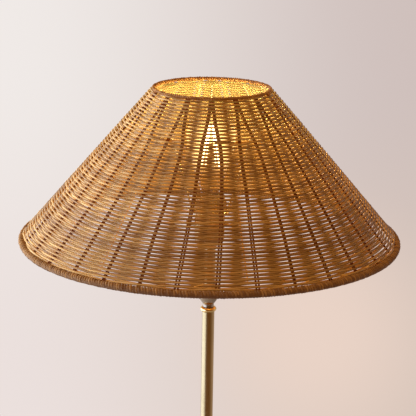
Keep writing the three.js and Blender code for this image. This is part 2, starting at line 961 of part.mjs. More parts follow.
const base = stack(
  0,
  piece('base_felt', disc(feltRadius, feltThickness, baseSides), felt),
  piece('base_weight', baseWeight(), iron, weightFoot),
  piece('base_cover', baseCover(), brass),
  piece('base_spacer', sleeve(spacerRadius, studBore, spacerLength, innerSides), steel,
    weightFoot + bossHeight + seatGap),
  piece('base_washer', sleeve(washerRadius, studBore, washerThickness, innerSides), steel, nutSeat),
  piece('base_nut', baseNut(), steel, nutSeat - seatGap - nutThickness),
  piece('base_nipple', sleeve(nippleRadius, nippleBore, nippleLength, innerSides), steel, nippleFoot),
  gland,
  block,
  piece('inner_lead', innerLead(holderFoot + insertHeight - seatGap), blackPlastic),
);

const pole = stack(
  poleFoot,
  piece('foot_collar', footCollar(), brass, collarFoot - poleFoot),
  piece('foot_plug', tubePlug(), steel),
  piece('pole_tube_lower', poleTube(sectionLength), brass),
  piece('pole_joiner_lower', poleJoiner(), bareBrass, sectionLength + seatGap - plugLength),
  piece('pole_tube_middle', poleTube(sectionLength), brass, joinPitch),
  piece('pole_joiner_upper', poleJoiner(), bareBrass, joinPitch + sectionLength + seatGap - plugLength),
  piece('pole_tube_upper', poleTube(sectionLength), brass, 2 * joinPitch),
  piece('pole_top_plug', tubePlug(), steel, poleTop - poleFoot - plugLength),
);

const topFittings = stack(
  0,
  piece('stem_rod', sleeve(nippleRadius, nippleBore, rodTop - rodFoot, innerSides), steel, rodFoot),
  piece('pole_bead', poleBead(), brass, beadFoot),
  piece('pole_cup', poleCup(), brass, cupFoot),
  piece('stem_tube', poleTube(stemLength), brass, stemFoot),
);

const grub = piece('holder_grub_screw', grubScrew(), steel, grubHeight);
grub.position.y = studBore;
const screws = [-1, 1].map((side) => {
  const name = side < 0 ? 'terminal_screw_left' : 'terminal_screw_right';
  const screw = piece(name, terminalScrew(), bareBrass, terminalFoot);
  screw.position.x = side * terminalOffset;
  return screw;
});
const bar = piece('switch_bar', switchBar(), brass, barHeight);
bar.position.x = -barTravel / 2;

const holder = stack(
  holderFoot,
  piece('holder_cap', holderCap(), brass),
  grub,
  piece('holder_shell', holderShell(), brass),
  piece('holder_insert', holderInsert(), porcelain),
  piece('holder_screw_shell', screwSocket(), bareBrass),
  piece('holder_contact', centreContact(), bareBrass, socketFloor + seatGap),
  ...screws,
  bar,
  piece('retaining_ring', retainingRing(), brass, ringSeat - holderFoot),
);

const filaments = Array.from({ length: filamentCount }, (_, i) => (
  piece(`bulb_filament_${i + 1}`, filament(i), glow)));

const bulb = stack(
  bulbFoot,
  piece('bulb_contact', bulbContact(), steel),
  piece('bulb_cap', bulbCap(), steel),
  piece('bulb_driver', bulbDriver(), circuitBoard,
    bulbCapFoot + bulbCapFloor + seatGap + driverHeight / 2),
  piece('bulb_glass', bulbGlass(), clearGlass),
  piece('bulb_stem', bulbStem(), clearGlass),
  piece('bulb_support', bulbSupport(), steel),
  ...filaments,
);

const armNames = ['fitter_arm_back', 'fitter_arm_left', 'fitter_arm_right'];
const shade = stack(
  fitterSeat,
  piece('fitter_ring', fitterRing(), steel),
  piece('fitter_top_ring', fitterTopRing(), steel),
  ...armNames.map((name, i) => piece(name, fitterArm(i), steel)),
  piece('shade_weave', shadeWeave(), cane),
  piece('shade_bottom_rim', shadeRim(wallFoot, -1, lowerRimWidth, lowerRimHeight, shadeSides),
    paleCane),
  piece('shade_top_rim', shadeRim(wallHead, 1, upperRimWidth, upperRimHeight, upperRimSides),
    paleCane),
);

const lamp = new THREE.Group();
lamp.add(base, pole, topFittings, holder, bulb, shade);

export default lamp;
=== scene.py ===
"""The looks of the rattan floor lamp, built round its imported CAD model.

Metres, +Z up, front towards -Y. The lamp's own sizes are in millimetres, and its outlines are
lists of (radius, height). The feet and the middle named below, the lights and the camera are in metres.
"""
import random
from math import atan2, copysign, cos, degrees, dist, exp, hypot, pi, radians, sin, tau

import bmesh
import bpy
from mathutils import Matrix, Vector


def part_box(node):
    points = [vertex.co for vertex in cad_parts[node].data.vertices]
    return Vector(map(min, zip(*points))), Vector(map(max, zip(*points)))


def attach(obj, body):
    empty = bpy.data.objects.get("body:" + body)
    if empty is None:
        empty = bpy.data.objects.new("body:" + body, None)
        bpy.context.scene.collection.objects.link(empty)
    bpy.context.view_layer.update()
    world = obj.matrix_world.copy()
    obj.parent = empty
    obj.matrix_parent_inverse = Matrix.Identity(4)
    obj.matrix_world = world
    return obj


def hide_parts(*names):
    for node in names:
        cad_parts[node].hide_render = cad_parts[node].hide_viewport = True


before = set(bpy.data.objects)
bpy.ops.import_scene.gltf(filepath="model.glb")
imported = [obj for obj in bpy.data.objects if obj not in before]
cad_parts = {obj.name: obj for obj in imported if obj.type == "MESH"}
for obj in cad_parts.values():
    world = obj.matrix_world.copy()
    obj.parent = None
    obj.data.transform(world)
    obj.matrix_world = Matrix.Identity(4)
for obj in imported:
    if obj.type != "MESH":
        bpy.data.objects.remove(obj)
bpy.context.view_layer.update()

MM = 0.001
BODY_SIDES = 96
BASE_SIDES = 160
RIM_SIDES = 16
CANE_SIDES = 6
WEFT_SIDES = 8

# Shade wall, from its upper end to its lower end
WALL_TOP_RADIUS = 76.0
WALL_FOOT_RADIUS = 242.0
WALL_DROP = 192.0
WALL_LENGTH = hypot(WALL_FOOT_RADIUS - WALL_TOP_RADIUS, WALL_DROP)
WALL_SPREAD = (WALL_FOOT_RADIUS - WALL_TOP_RADIUS) / WALL_LENGTH
WALL_FALL = WALL_DROP / WALL_LENGTH
WALL_THICKNESS = 7.0
FITTER_TO_WALL_TOP = 160.0
WALL_TOP_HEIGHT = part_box("fitter_ring")[0].z / MM + FITTER_TO_WALL_TOP

# Weave: tables give a value at shares of the way down the wall
STAKE_PAIRS = 16
STAKES = 2 * STAKE_PAIRS
STAKE_RADIUS = 1.2
STAKE_STEPS = 56
STAKE_OVERHANG = 1.5
CANES_APART = 1.1
PAIR_SPREAD = ((0.0, 0.9), (0.06, 1.6), (0.16, 3.4), (0.24, 5.0), (0.32, 5.6))
STAKE_DRIFT = ((0.3, 0.0), (0.48, -0.8), (0.64, -1.6), (0.8, -2.3), (1.0, -3.0))
ROWS = 106
PAIRED_ROWS = 25
LOOSE_ROWS = 8
ROWS_PER_BAND = 27
ROW_PITCH = WALL_LENGTH / ROWS
STEPS_PER_STAKE = 8
WEFT_RADIUS = 1.3
WEAVE_DEPTH = ((0.0, 2.15), (0.5, 2.05), (1.0, 1.6))
BEND_SHARPNESS = 1.2
END_MARGIN = 0.9
RIBS = 8
RIB_RADIUS = 0.95
RIB_DEPTH = -3.0

# Rims
WRAP_RELIEF = 0.75
WRAP_COVER = 0.92
RIM_CORE = 0.85
HOOP_TURNS = 190
HOOP_STEPS = 10
LOOSE_ENDS = 26

# Metalwork and lampholder
COVER_RADIUS = 140.0
COVER_SHOULDER = 5.0
COVER_WALL = 1.3
GLAND_HEIGHT = 10.0
GLAND_DEPTH = 3.4
STUD_BORE = 5.15
TUBE_RADIUS = 8.25
TUBE_BORE = 7.05
HOLDER_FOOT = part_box("holder_cap")[0].z
HOLDER_RADIUS = 19.6
HOLDER_BORE = 18.3
SWITCH_HEIGHT = 32.0
GRUB_HEIGHT = 2.0
RING_RADIUS = 21.9
RING_RIB_DEPTH = 0.45
RING_HEIGHT = 9.8
RING_BORE = 19.9
RING_RIBS = 30
THREAD_PITCH = 3.62
FITTER_WIRE = 1.4

# Bulb
BULB_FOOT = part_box("bulb_contact")[0].z
BULB_MIDDLE = sum(corner.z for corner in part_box("bulb_filament_1")) / 2
BULB_RADIUS = 32.0
BULB_LENGTH = 140.0
BULB_NECK = 12.2
BULB_WALL = 0.8
FILAMENTS = 4
FILAMENT_RADIUS = 0.95
SUPPORT_LOW = 64.2
SUPPORT_HIGH = 118.8

# Light and camera
WHITE = (1, 1, 1, 1)
BLACK = (0, 0, 0, 1)
GLOW_REACH = 0.028
DEEP_GLOW = 30.0
BULB_POWER = 2.1
WINDOW_POWER = 268
CEILING_POWER = 21.5
FILL_STRENGTH = 0.062
FILL_COLOUR = (0.90, 0.50, 0.20, 1)
ROOM_FRONT = (0.24, 0.12, 0.038, 1)
WINDOW_MIRRORED = (2.4, 2.9, 4.0, 1)
LIT_POINT = Vector((0, 0, 1.3))
CAMERA_PLACE = (0.0, -1.8275, 1.7745)
CAMERA_PITCH = 14.864
CAMERA_YAW = 0.08
CAMERA_ROLL = 0.92
CAMERA_LENS = 125.09
FLOOR_RADIUS = 1.6


# Shapes

def placed(name, data):
    """An object of the scene that holds a mesh, curve, light or camera."""
    thing = bpy.data.objects.new(name, data)
    bpy.context.scene.collection.objects.link(thing)
    return thing


def new_piece(name, mesh, material, body, replaced):
    """A finished piece from a mesh, riding on a body of the lamp."""
    piece = placed(name, mesh)
    mesh.materials.clear()
    mesh.materials.append(material)
    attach(piece, body)
    if replaced:
        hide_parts(*replaced)
    return piece


def smoothed(mesh, sharp_angle):
    """Smooth shading, except over edges sharper than an angle in degrees."""
    mesh.shade_smooth()
    mesh.set_sharp_from_angle(angle=radians(sharp_angle))
    return mesh


def mesh_from(bm, name, sharp_angle=40):
    mesh = bpy.data.meshes.new(name)
    bm.to_mesh(mesh)
    bm.free()
    return smoothed(mesh, sharp_angle)


def bend(start, start_pull, end_pull, end, steps):
    """Points of a smooth curve between two points, drawn towards two others."""
    corners = (start, start_pull, end_pull, end)
    points = []
    for i in range(steps + 1):
        t = i / steps
        weights = ((1 - t) ** 3, 3 * t * (1 - t) ** 2, 3 * t * t * (1 - t), t ** 3)
        points.append(tuple(sum(w * c[k] for w, c in zip(weights, corners)) for k in (0, 1)))
    return points


def arc(centre, radius, first, last, steps):
    """Points round a centre, between two angles in degrees."""
    angles = [radians(first + (last - first) * i / steps) for i in range(steps + 1)]
    return [(centre[0] + radius * cos(angle), centre[1] + radius * sin(angle)) for angle in angles]


def turned_mesh(name, outline, foot, sides=BODY_SIDES, sharp_angle=40):
    """A turned solid: the outline spun about the pole's axis, from a height in metres."""
    bm = bmesh.new()
    corners = [bm.verts.new((radius * MM, 0, foot + height * MM)) for radius, height in outline]
    edges = [bm.edges.new(pair) for pair in zip(corners, corners[1:] + corners[:1])
             if pair[0].co.x > 1e-7 or pair[1].co.x > 1e-7]
    bmesh.ops.spin(bm, geom=corners + edges, cent=(0, 0, 0), axis=(0, 0, 1), angle=tau,
                   steps=sides, use_merge=True)
    bmesh.ops.remove_doubles(bm, verts=bm.verts, dist=1e-6)
    bmesh.ops.dissolve_degenerate(bm, dist=1e-7, edges=bm.edges)
    bmesh.ops.recalc_face_normals(bm, faces=bm.faces)
    return mesh_from(bm, name, sharp_angle)


def final_mesh(holder):
    """What an object shows once its bevel or its cuts are worked out."""
    graph = bpy.context.evaluated_depsgraph_get()
    return bpy.data.meshes.new_from_object(holder.evaluated_get(graph))


def curve_mesh(name, runs, radius, sides, closed):
    """Round canes or wires: each run is a list of (point in mm, thickness share)."""
    curve = bpy.data.curves.new(name, "CURVE")
    curve.dimensions = "3D"
    curve.bevel_depth = radius * MM
    curve.bevel_resolution = (sides - 4) // 2
    curve.use_fill_caps = not closed
    for run in runs:
        spline = curve.splines.new("POLY")
        spline.points.add(len(run) - 1)
        spline.points.foreach_set("co", [c for (x, y, z), _ in run for c in (x * MM, y * MM, z * MM, 1)])
        spline.points.foreach_set("radius", [thickness for _, thickness in run])
        spline.use_cyclic_u = closed
    holder = placed(name, curve)
    mesh = final_mesh(holder)
    bpy.data.objects.remove(holder)
    mesh.name = name
    mesh.shade_smooth()
    return mesh


def store(mesh, name, values, kind="FLOAT", field="value"):
    """Keeps a value for every vertex under a name, for the materials to read."""
    layer = mesh.attributes.new(name, kind, "POINT")
    layer.data.foreach_set(field, values)


def store_strands(mesh, tones, places):
    store(mesh, "tone", tones)
    store(mesh, "strand", [part for place in places for part in place], "FLOAT_VECTOR", "vector")


def mark_strands(mesh, runs, sides, tones):
    """Gives every vertex its strand's tone, its place on the strand (round it and along it), how
    far it faces the inside of the shade, and how deep in the wall it lies, both from 0 to 1."""
    rounds = [(cos(tau * i / sides), sin(tau * i / sides)) for i in range(sides)]
    values = []
    places = []
    depths = []
    for run, tone in zip(runs, tones):
        travelled = tone * 7
        last = run[0][0]
        for point, _ in run:
            travelled += dist(point, last) * MM
            last = point
            values += [tone] * sides
            places += [(*across, travelled) for across in rounds]
            depths += [out_of_wall(point)] * sides
    spare = len(mesh.vertices) - len(values)
    store_strands(mesh, values + [0.5] * spare, places + [(0, 0, 0)] * spare)
    outs = [out_of_wall(vert.co / MM) for vert in mesh.vertices]
    inward = [depth - out for depth, out in zip(depths, outs)]
    thick = max(inward)
    store(mesh, "inside", [0.5 + 0.5 * part / thick for part in inward] + [0.5] * spare)
    store(mesh, "depth", [0.5 - out / WALL_THICKNESS for out in outs])


def strands(name, runs, radius, sides, tones, material, replaced=(), closed=False):
    """A piece of the shade made of round canes, each with its own tone."""
    mesh = curve_mesh(name, runs, radius, sides, closed)
    mark_strands(mesh, runs, sides, tones)
    new_piece(name, mesh, material, "shade", replaced)


# Shade

def on_wall(slant, angle, out=0.0):
    """A point of the shade's wall in mm: down the slant from its upper end, turned from the
    front towards the right in degrees, and out from the middle of the wall."""
    radius = WALL_TOP_RADIUS + slant * WALL_SPREAD + out * WALL_FALL
    height = WALL_TOP_HEIGHT - slant * WALL_FALL + out * WALL_SPREAD
    turn = radians(angle)
    return (radius * sin(turn), -radius * cos(turn), height)


def out_of_wall(point):
    """How far a point in mm stands out from the middle of the wall."""
    x, y, z = point
    return (hypot(x, y) - WALL_TOP_RADIUS) * WALL_FALL + (z - WALL_TOP_HEIGHT) * WALL_SPREAD


def between(value, stops):
    """Straight-line reading of a table of (place, value) pairs."""
    for (x0, y0), (x1, y1) in zip(stops, stops[1:]):
        if value <= x1:
            return y0 + (y1 - y0) * max(value - x0, 0) / (x1 - x0)
    return stops[-1][1]


stake_luck = random.Random(4)
STAKE_WANDER = [[stake_luck.uniform(-0.4, 0.4) for _ in range(5)] for _ in range(STAKES)]


def stake_angle(stake, slant):
    """Where a stake stands, in degrees: in pairs at the top, evenly spaced lower down."""
    share = slant / WALL_LENGTH
    pair, side = divmod(stake % STAKES, 2)
    spread = between(share, PAIR_SPREAD)
    wander = STAKE_WANDER[stake % STAKES]
    place = share * (len(wander) - 1)
    step = min(int(place), len(wander) - 2)
    stray = wander[step] + (wander[step + 1] - wander[step]) * (place - step)
    turns = 360.0 * (stake // STAKES)
    middle = 360.0 / STAKE_PAIRS * pair
    drift = between(share, STAKE_DRIFT)
    return turns + middle + drift + (2 * side - 1) * spread + stray * min(1, share * 4)


def row_stray(luck, size):
    """A slow waver of one row, as a function of the angle in degrees."""
    waves = [(n, luck.uniform(0, tau), luck.uniform(0.3, 1) * size / n ** 0.5)
             for n in (2, 3, 5, 8, 13)]
    return lambda angle: sum(a * sin(radians(angle) * n + turn) for n, turn, a in waves)


def slack_at(share, angle):
    """How slack the weave is, from 0 to 1: one worn patch low down on the right."""
    across = (angle % 360 - 73) / 12
    down = (share - 0.92) / 0.07
    return exp(-across * across - down * down)


def weft_row(row, luck):
    """One round of weaving cane, over and under the stakes."""
    slant = (row + 0.5) * ROW_PITCH
    share = slant / WALL_LENGTH
    looseness = max(0, row - (ROWS - LOOSE_ROWS)) / LOOSE_ROWS
    stray = row_stray(luck, 0.14 + 0.26 * looseness)
    swell = row_stray(luck, 0.06)
    thickness = luck.uniform(0.83, 1.02) + 0.15 * share
    deepest = between(share, WEAVE_DEPTH)
    paired = row < PAIRED_ROWS
    run = []
    for stake in range(STAKES):
        first = stake_angle(stake, slant)
        step = (stake_angle(stake + 1, slant) - first) / STEPS_PER_STAKE
        side = 1 if (row + (stake // 2 if paired else stake)) % 2 == 0 else -1
        inside_pair = paired and stake % 2 == 0
        for i in range(STEPS_PER_STAKE):
            angle = first + step * i
            swing = 1.0 if inside_pair else cos(pi * i / STEPS_PER_STAKE)
            slack = slack_at(share, angle)
            depth = deepest * side * copysign(abs(swing) ** BEND_SHARPNESS, swing)
            place = slant + stray(angle) * (1 + 3 * slack)
            place = min(max(place, END_MARGIN), WALL_LENGTH - END_MARGIN)
            run.append((on_wall(place, angle, depth), (thickness + swell(angle)) * (1 - 0.22 * slack)))
    return run


def weave_bands():
    """The rows of weaving cane, in four pieces from the top down."""
    luck = random.Random(11)
    rows = [weft_row(row, luck) for row in range(ROWS)]
    tones = [luck.random() for _ in rows]
    for band, start in enumerate(range(0, ROWS, ROWS_PER_BAND), start=1):
        part = slice(start, start + ROWS_PER_BAND)
        strands(f"weave_band_{band}", rows[part], WEFT_RADIUS, WEFT_SIDES, tones[part], weft_cane,
                ["shade_weave"], closed=True)


def stakes():
    """Each stake is two thin canes side by side, parted a little lower down."""
    luck = random.Random(23)
    runs = []
    for stake in range(STAKES):
        parting = luck.uniform(0.0, 1.0)
        for side in (-1, 1):
            run = []
            for i in range(STAKE_STEPS + 1):
                slant = -STAKE_OVERHANG + (WALL_LENGTH + 2 * STAKE_OVERHANG) * i / STAKE_STEPS
                share = slant / WALL_LENGTH
                apart = CANES_APART + 0.75 * parting * max(0, share - 0.45) / 0.55
                reach = WALL_TOP_RADIUS + slant * WALL_SPREAD
                angle = stake_angle(stake, max(slant, 0)) + side * degrees(apart / reach)
                run.append((on_wall(slant, angle), 1.0))
            runs.append(run)
    tones = [luck.random() for _ in runs]
    strands("weave_stakes", runs, STAKE_RADIUS, CANE_SIDES, tones, stake_cane)


def inner_ribs():
    """Pale split canes down the inside of the wall, midway between pairs of stakes."""
    runs = []
    for rib in range(RIBS):
        angle = 180 + 180 / STAKE_PAIRS + 360 / RIBS * rib
        runs.append([(on_wall(6 + 238 * i / 20, angle, RIB_DEPTH), 1.0) for i in range(21)])
    strands("weave_ribs", runs, RIB_RADIUS, CANE_SIDES, [0.9] * RIBS, rib_cane)


def rim_turn(width, height, strap, pitch, steps):
    """One turn of the wrapping cane about a level Y axis, as a mesh."""
    bm = bmesh.new()
    crown = 1.0 - WRAP_RELIEF / (0.5 * min(width, height))
    profile = ((-strap / 2, crown), (-strap / 4, 0.99), (strap / 4, 0.99), (strap / 2, crown))
    corners = [bm.verts.new((0, y * MM, -reach)) for y, reach in profile]
    edges = [bm.edges.new(pair) for pair in zip(corners, corners[1:])]
    bmesh.ops.spin(bm, geom=corners + edges, cent=(0, 0, 0), axis=(0, 1, 0),
                   dvec=(0, pitch * MM / steps, 0), angle=tau, steps=steps)
    bmesh.ops.scale(bm, vec=(width / 2 * MM, 1, height / 2 * MM), verts=bm.verts)
    bmesh.ops.recalc_face_normals(bm, faces=bm.faces)
    return mesh_from(bm, "rim_turn")


def wrapped_rim(name, node, middle, width, height, pitch):
    """A rim of cane wound closely round the end of the wall; middle is its place down the slant."""
    luck = random.Random(len(name))
    around = tau * (WALL_TOP_RADIUS + middle * WALL_SPREAD)
    turns = round(around / pitch)
    pitch = around / turns
    one = rim_turn(width, height, pitch * WRAP_COVER, pitch, 12)
    rounds = [(vert.co.y / MM, atan2(vert.co.x / width, vert.co.z / height) * width / 2 * MM)
              for vert in one.vertices]
    lean = Matrix.Rotation(-atan2(WALL_SPREAD, WALL_FALL), 4, "Y")
    bm = bmesh.new()
    tones = []
    places = []
    for turn in range(turns):
        known = len(bm.verts)
        bm.from_mesh(one)
        bm.verts.ensure_lookup_table()
        fresh = bm.verts[known:]
        angle = 360 * turn / turns
        centre = Vector(on_wall(middle, angle)) * MM
        settle = luck.uniform(0.915, 1.0)
        place = (Matrix.Translation(centre) @ Matrix.Rotation(radians(angle) - pi / 2, 4, "Z")
                 @ lean @ Matrix.Rotation(luck.gauss(0.16, 0.07), 4, "X")
                 @ Matrix.Rotation(luck.gauss(0.0, 0.05), 4, "Z") @ Matrix.Scale(settle, 4))
        bmesh.ops.transform(bm, matrix=place, verts=fresh)
        tones += [luck.uniform(0.0, 1.0)] * len(fresh)
        places += [(across, turn * 0.37, turn * 0.03 + along) for across, along in rounds]
    mesh = mesh_from(bm, name, 80)
    store_strands(mesh, tones, places)
    new_piece(name, mesh, rim_cane, "shade", [node])
    rim_core(name + "_core", middle, width, height)


def rim_core(name, middle, width, height):
    """The bundle of canes that the rim is wound on, seen between the turns."""
    outline = []
    for i in range(RIM_SIDES):
        around = tau * i / RIM_SIDES
        along = middle + RIM_CORE * height / 2 * sin(around)
        reach, _, level = on_wall(along, 90, RIM_CORE * width / 2 * cos(around))
        outline.append((reach, level))
    turned(name, outline, rim_cane, foot=0, body="shade", sides=BASE_SIDES)


def wrapped_hoop(reach, height):
    """The wire hoop under the upper rim, bound with fine cane."""
    run = []
    for i in range(HOOP_TURNS * HOOP_STEPS):
        angle = tau * i / (HOOP_TURNS * HOOP_STEPS)
        around = tau * i / HOOP_STEPS
        away = reach + 0.75 * cos(around)
        run.append(((away * sin(angle), -away * cos(angle), height + 0.6 * sin(around)), 1.0))
    strands("wrapped_hoop", [run], 0.62, CANE_SIDES, [0.7], weft_cane,
            ["fitter_top_ring"], closed=True)


def loose_ends():
    """Cut ends of cane that stand out a little beside the two rims."""
    luck = random.Random(8)
    places = [(3.0, -84.0), (5.0, -89.0), (4.0, 141.0), (6.0, 63.0)]
    places += [(WALL_LENGTH - luck.uniform(1, 5), luck.uniform(-180, 180)) for _ in range(LOOSE_ENDS)]
    runs = []
    for slant, angle in places:
        length = luck.uniform(6, 11)
        turn = luck.choice((-1, 1)) * degrees(length / (WALL_TOP_RADIUS + slant * WALL_SPREAD))
        rise = luck.uniform(-2.5, 2.5)
        run = []
        for t in (0.0, 0.35, 0.7, 1.0):
            place = on_wall(min(slant + rise * t, WALL_LENGTH), angle + turn * t, 1.2 + 1.6 * t)
            run.append((place, 1.0 - 0.3 * t))
        runs.append(run)
    tones = [luck.random() for _ in runs]
    strands("loose_ends", runs, 0.55, CANE_SIDES, tones, weft_cane)


# Helpers for metalwork, lampholder and bulb

def shell_outline(outline, wall):
    """The outline with its parallel inside, for a shell of even thickness."""
    inside = []
    for i, (radius, height) in enumerate(outline):
        before = outline[max(i - 1, 0)]
        after = outline[min(i + 1, len(outline) - 1)]
        length = dist(before, after)
        inside.append((max(radius - wall * (after[1] - before[1]) / length, 0),
                       height + wall * (after[0] - before[0]) / length))
    return outline + inside[::-1]


def thread_waves(crest, root, low, high, pitch):
    """Outline points of a rolled thread between two heights, from low to high."""
    steps = round((high - low) / pitch) * 8
    return [(root + (crest - root) * (0.5 + 0.5 * cos(tau * i / 8)), low + (high - low) * i / steps)
            for i in range(steps + 1)]


def outward(angle, reach, height):
    """A point at an angle in degrees from +X about the pole's axis."""
    return (reach * cos(radians(angle)), reach * sin(radians(angle)), height)


def laid_along(mesh, axis, place):
    """The mesh with its own +Z turned to an axis and moved to a place in metres."""
    mesh.transform(Matrix.Translation(place) @ Vector(axis).to_track_quat("Z", "Y").to_matrix().to_4x4())
    return mesh


def rod_mesh(start, end, radius, sides=32):
    """A plain round bar between two points in metres, used to cut holes."""
    start, end = Vector(start), Vector(end)
    bm = bmesh.new()
    bmesh.ops.create_cone(bm, cap_ends=True, segments=sides, radius1=radius, radius2=radius,
                          depth=(end - start).length)
    return laid_along(mesh_from(bm, "rod"), end - start, (start + end) / 2)


def block_mesh(size, centre):
    """A plain block in metres, used to cut channels."""
    bm = bmesh.new()
    bmesh.ops.create_cube(bm, size=1.0)
    bmesh.ops.scale(bm, vec=size, verts=bm.verts)
    bmesh.ops.translate(bm, vec=centre, verts=bm.verts)
    return mesh_from(bm, "block")


def cut_mesh(mesh, cutters, sharp_angle=40):
    """The mesh with other closed meshes cut out of it."""
    name = mesh.name
    holder = placed("holder", mesh)
    tools = [placed("cutter", cutter) for cutter in cutters]
    for tool in tools:
        step = holder.modifiers.new("cut", "BOOLEAN")
        step.operation = "DIFFERENCE"
        step.solver = "EXACT"
        step.object = tool
    result = final_mesh(holder)
    for part in (holder, *tools):
        bpy.data.objects.remove(part)
    result.name = name
    return smoothed(result, sharp_angle)


def turned(name, outline, material, node=None, foot=None, body="stand", sides=BODY_SIDES, cuts=()):
    """A turned piece, measured from a height in metres or else from the foot of its node."""
    mesh = turned_mesh(name, outline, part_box(node)[0].z if foot is None else foot, sides)
    if cuts:
        mesh = cut_mesh(mesh, cuts)
    return new_piece(name, mesh, material, body, [node] if node else ())


def wires(name, runs, radius, material, body, node, sides=12):
    """Round wires, each through its own points in mm."""
    mesh = curve_mesh(name, [[(point, 1.0) for point in run] for run in runs], radius, sides, closed=False)
    new_piece(name, mesh, material, body, [node])


# Base

def base_cover():
    edge = COVER_RADIUS - COVER_SHOULDER
    outside = [(COVER_RADIUS, 2.6), *arc((edge, 18), COVER_SHOULDER, 0, 90, 10)]
    outside += bend((edge, 23), (72.8, 24.5), (33.6, 28), (21, 41), 40)[1:-1]
    outside += arc((18, 41), 3, 0, 90, 8) + [(STUD_BORE, 44)]
    outline = [(COVER_RADIUS - 0.6, 2.0), *shell_outline(outside, COVER_WALL)]
    outline.append((COVER_RADIUS - COVER_WALL, 2.0))
    height = GLAND_HEIGHT * MM
    turned("turned_cover", outline, antique_brass, "base_cover", 0, sides=BASE_SIDES,
           cuts=[rod_mesh((0, 0.132, height), (0, 0.145, height), 4.4 * MM)])


def base_disc():
    channel = block_mesh((0.009, 0.14, 0.0227), (0, 0.07, 0.0033))
    pocket = block_mesh((0.0168, 0.0258, 0.0212), (0, 0.062, 0.0033))
    turned("iron_disc", [
        (STUD_BORE, 31), (STUD_BORE, 25.2), (17, 25.2), (17, 3.3), (137, 3.3), (138, 4.3), (138, 16.6),
        (136.8, 17.8), (25, 17.8), (24, 18.8), (24, 30), (23, 31)], cast_iron, "base_weight", 0,
        sides=BASE_SIDES, cuts=[channel, pocket])
    turned("felt_pad", [(0, 0.4), (131.6, 0), (132.6, 0.5), (133, 1.5), (132.6, 2.5), (131.6, 3), (0, 3)],
           pressed_felt, "base_felt", 0, sides=BASE_SIDES)


def lead_bush():
    bush = turned_mesh("lead_bush", [
        (3.2, 0), (4.1, 0), (4.1, GLAND_DEPTH), (5.8, GLAND_DEPTH), (5.8, 4.4), (5.4, 5.1), (4.6, 5.4),
        (3.9, 5.3), (3.4, 4.9), (3.2, 4.3)], 0, 48, 60)
    place = (0, (COVER_RADIUS + 0.3 - GLAND_DEPTH) * MM, GLAND_HEIGHT * MM)
    new_piece("lead_bush", laid_along(bush, (0, 1, 0), place), black_plastic, "stand", ["cord_gland"])


# Pole

def pole_collar():
    collar = [(STUD_BORE, 0), (19.6, 0), (20, 0.4), (20, 2.4), (19.6, 3)]
    collar += bend((18.8, 4.2), (12.25, 5.5), (11.45, 9), (11.25, 19), 18)
    collar += arc((10.45, 21.8), 2, -60, 90, 12) + [(9.2, 23.8), (8.65, 23.4), (8.65, 8), (STUD_BORE, 8)]
    turned("turned_collar", collar, antique_brass, "foot_collar")


def pole_tubes():
    for node in ("pole_tube_lower", "pole_tube_middle", "pole_tube_upper", "stem_tube"):
        low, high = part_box(node)
        length = (high.z - low.z) / MM
        half = [(TUBE_BORE, 0.2), (7.25, 0), (8.0, 0), (TUBE_RADIUS, 0.25)]
        outline = half + [(radius, length - height) for radius, height in reversed(half)]
        turned("drawn_" + node, outline, antique_brass, node)


def pole_joiners():
    joiner = [(3.6, 0), (6.35, 0), (6.75, 0.4), (6.75, 18), (7.75, 18)] + arc((7.75, 18.5), 0.5, -90, 0, 4)
    joiner += arc((7.75, 19.1), 0.5, 0, 90, 4) + [(6.75, 19.6), (6.75, 37.2), (6.35, 37.6), (3.6, 37.6)]
    for node in ("pole_joiner_lower", "pole_joiner_upper"):
        turned("turned_" + node, joiner, bare_brass, node)


def bead_and_cup():
    bead = [(STUD_BORE, 0), *arc((7.9, 3), 3, -90, 90, 24), (STUD_BORE, 6)]
    turned("turned_bead", bead, bare_brass, "pole_bead")
    cup = [(STUD_BORE, 0), (7.1, 0), (7.4, 0.3)]
    cup += bend((7.4, 3.5), (8.0, 6.6), (14.2, 9.0), (16, 25.0), 30)
    cup += arc((14.5, 26.5), 1.5, 0, 90, 8)
    cup += bend((13, 28), (11.25, 28.8), (9.75, 29.6), (9.05, 32.7), 10) + [(STUD_BORE, 32.7)]
    turned("turned_cup", cup, polished_brass, "pole_cup")


# Lampholder; heights are above the foot of its cap

def holder_cap():
    outside = [(9.2, 0), (9.5, 0.3), (9.5, 4)]
    outside += bend((10.5, 4), (16.66, 4.5), (HOLDER_RADIUS, 8), (HOLDER_RADIUS, 15), 20)
    outside += [(HOLDER_RADIUS, 23.7), (19.3, 24), (HOLDER_BORE, 24)]
    inside = bend((HOLDER_BORE, 15), (HOLDER_BORE, 9), (15.56, 6), (9.5, 5.9), 12)
    height = HOLDER_FOOT + GRUB_HEIGHT * MM
    turned("turned_cap", outside + inside + [(STUD_BORE, 5.3), (STUD_BORE, 0)], satin_brass,
           "holder_cap", cuts=[rod_mesh((0, 0.004, height), (0, 0.011, height), 1.8 * MM, 24)])

    grub = [(0, 0), (1.2, 0), (1.5, 0.3), (1.5, 4.1), (1.25, 4.35), (0, 4.35)]
    key = rod_mesh((0, 0, 0.0025), (0, 0, 0.006), 0.85 * MM, 6)
    screw = cut_mesh(turned_mesh("grub_screw", grub, 0, 32), [key])
    screw = laid_along(screw, (0, 1, 0), (0, STUD_BORE * MM, height))
    new_piece("grub_screw", screw, zinc_steel, "stand", ["holder_grub_screw"])


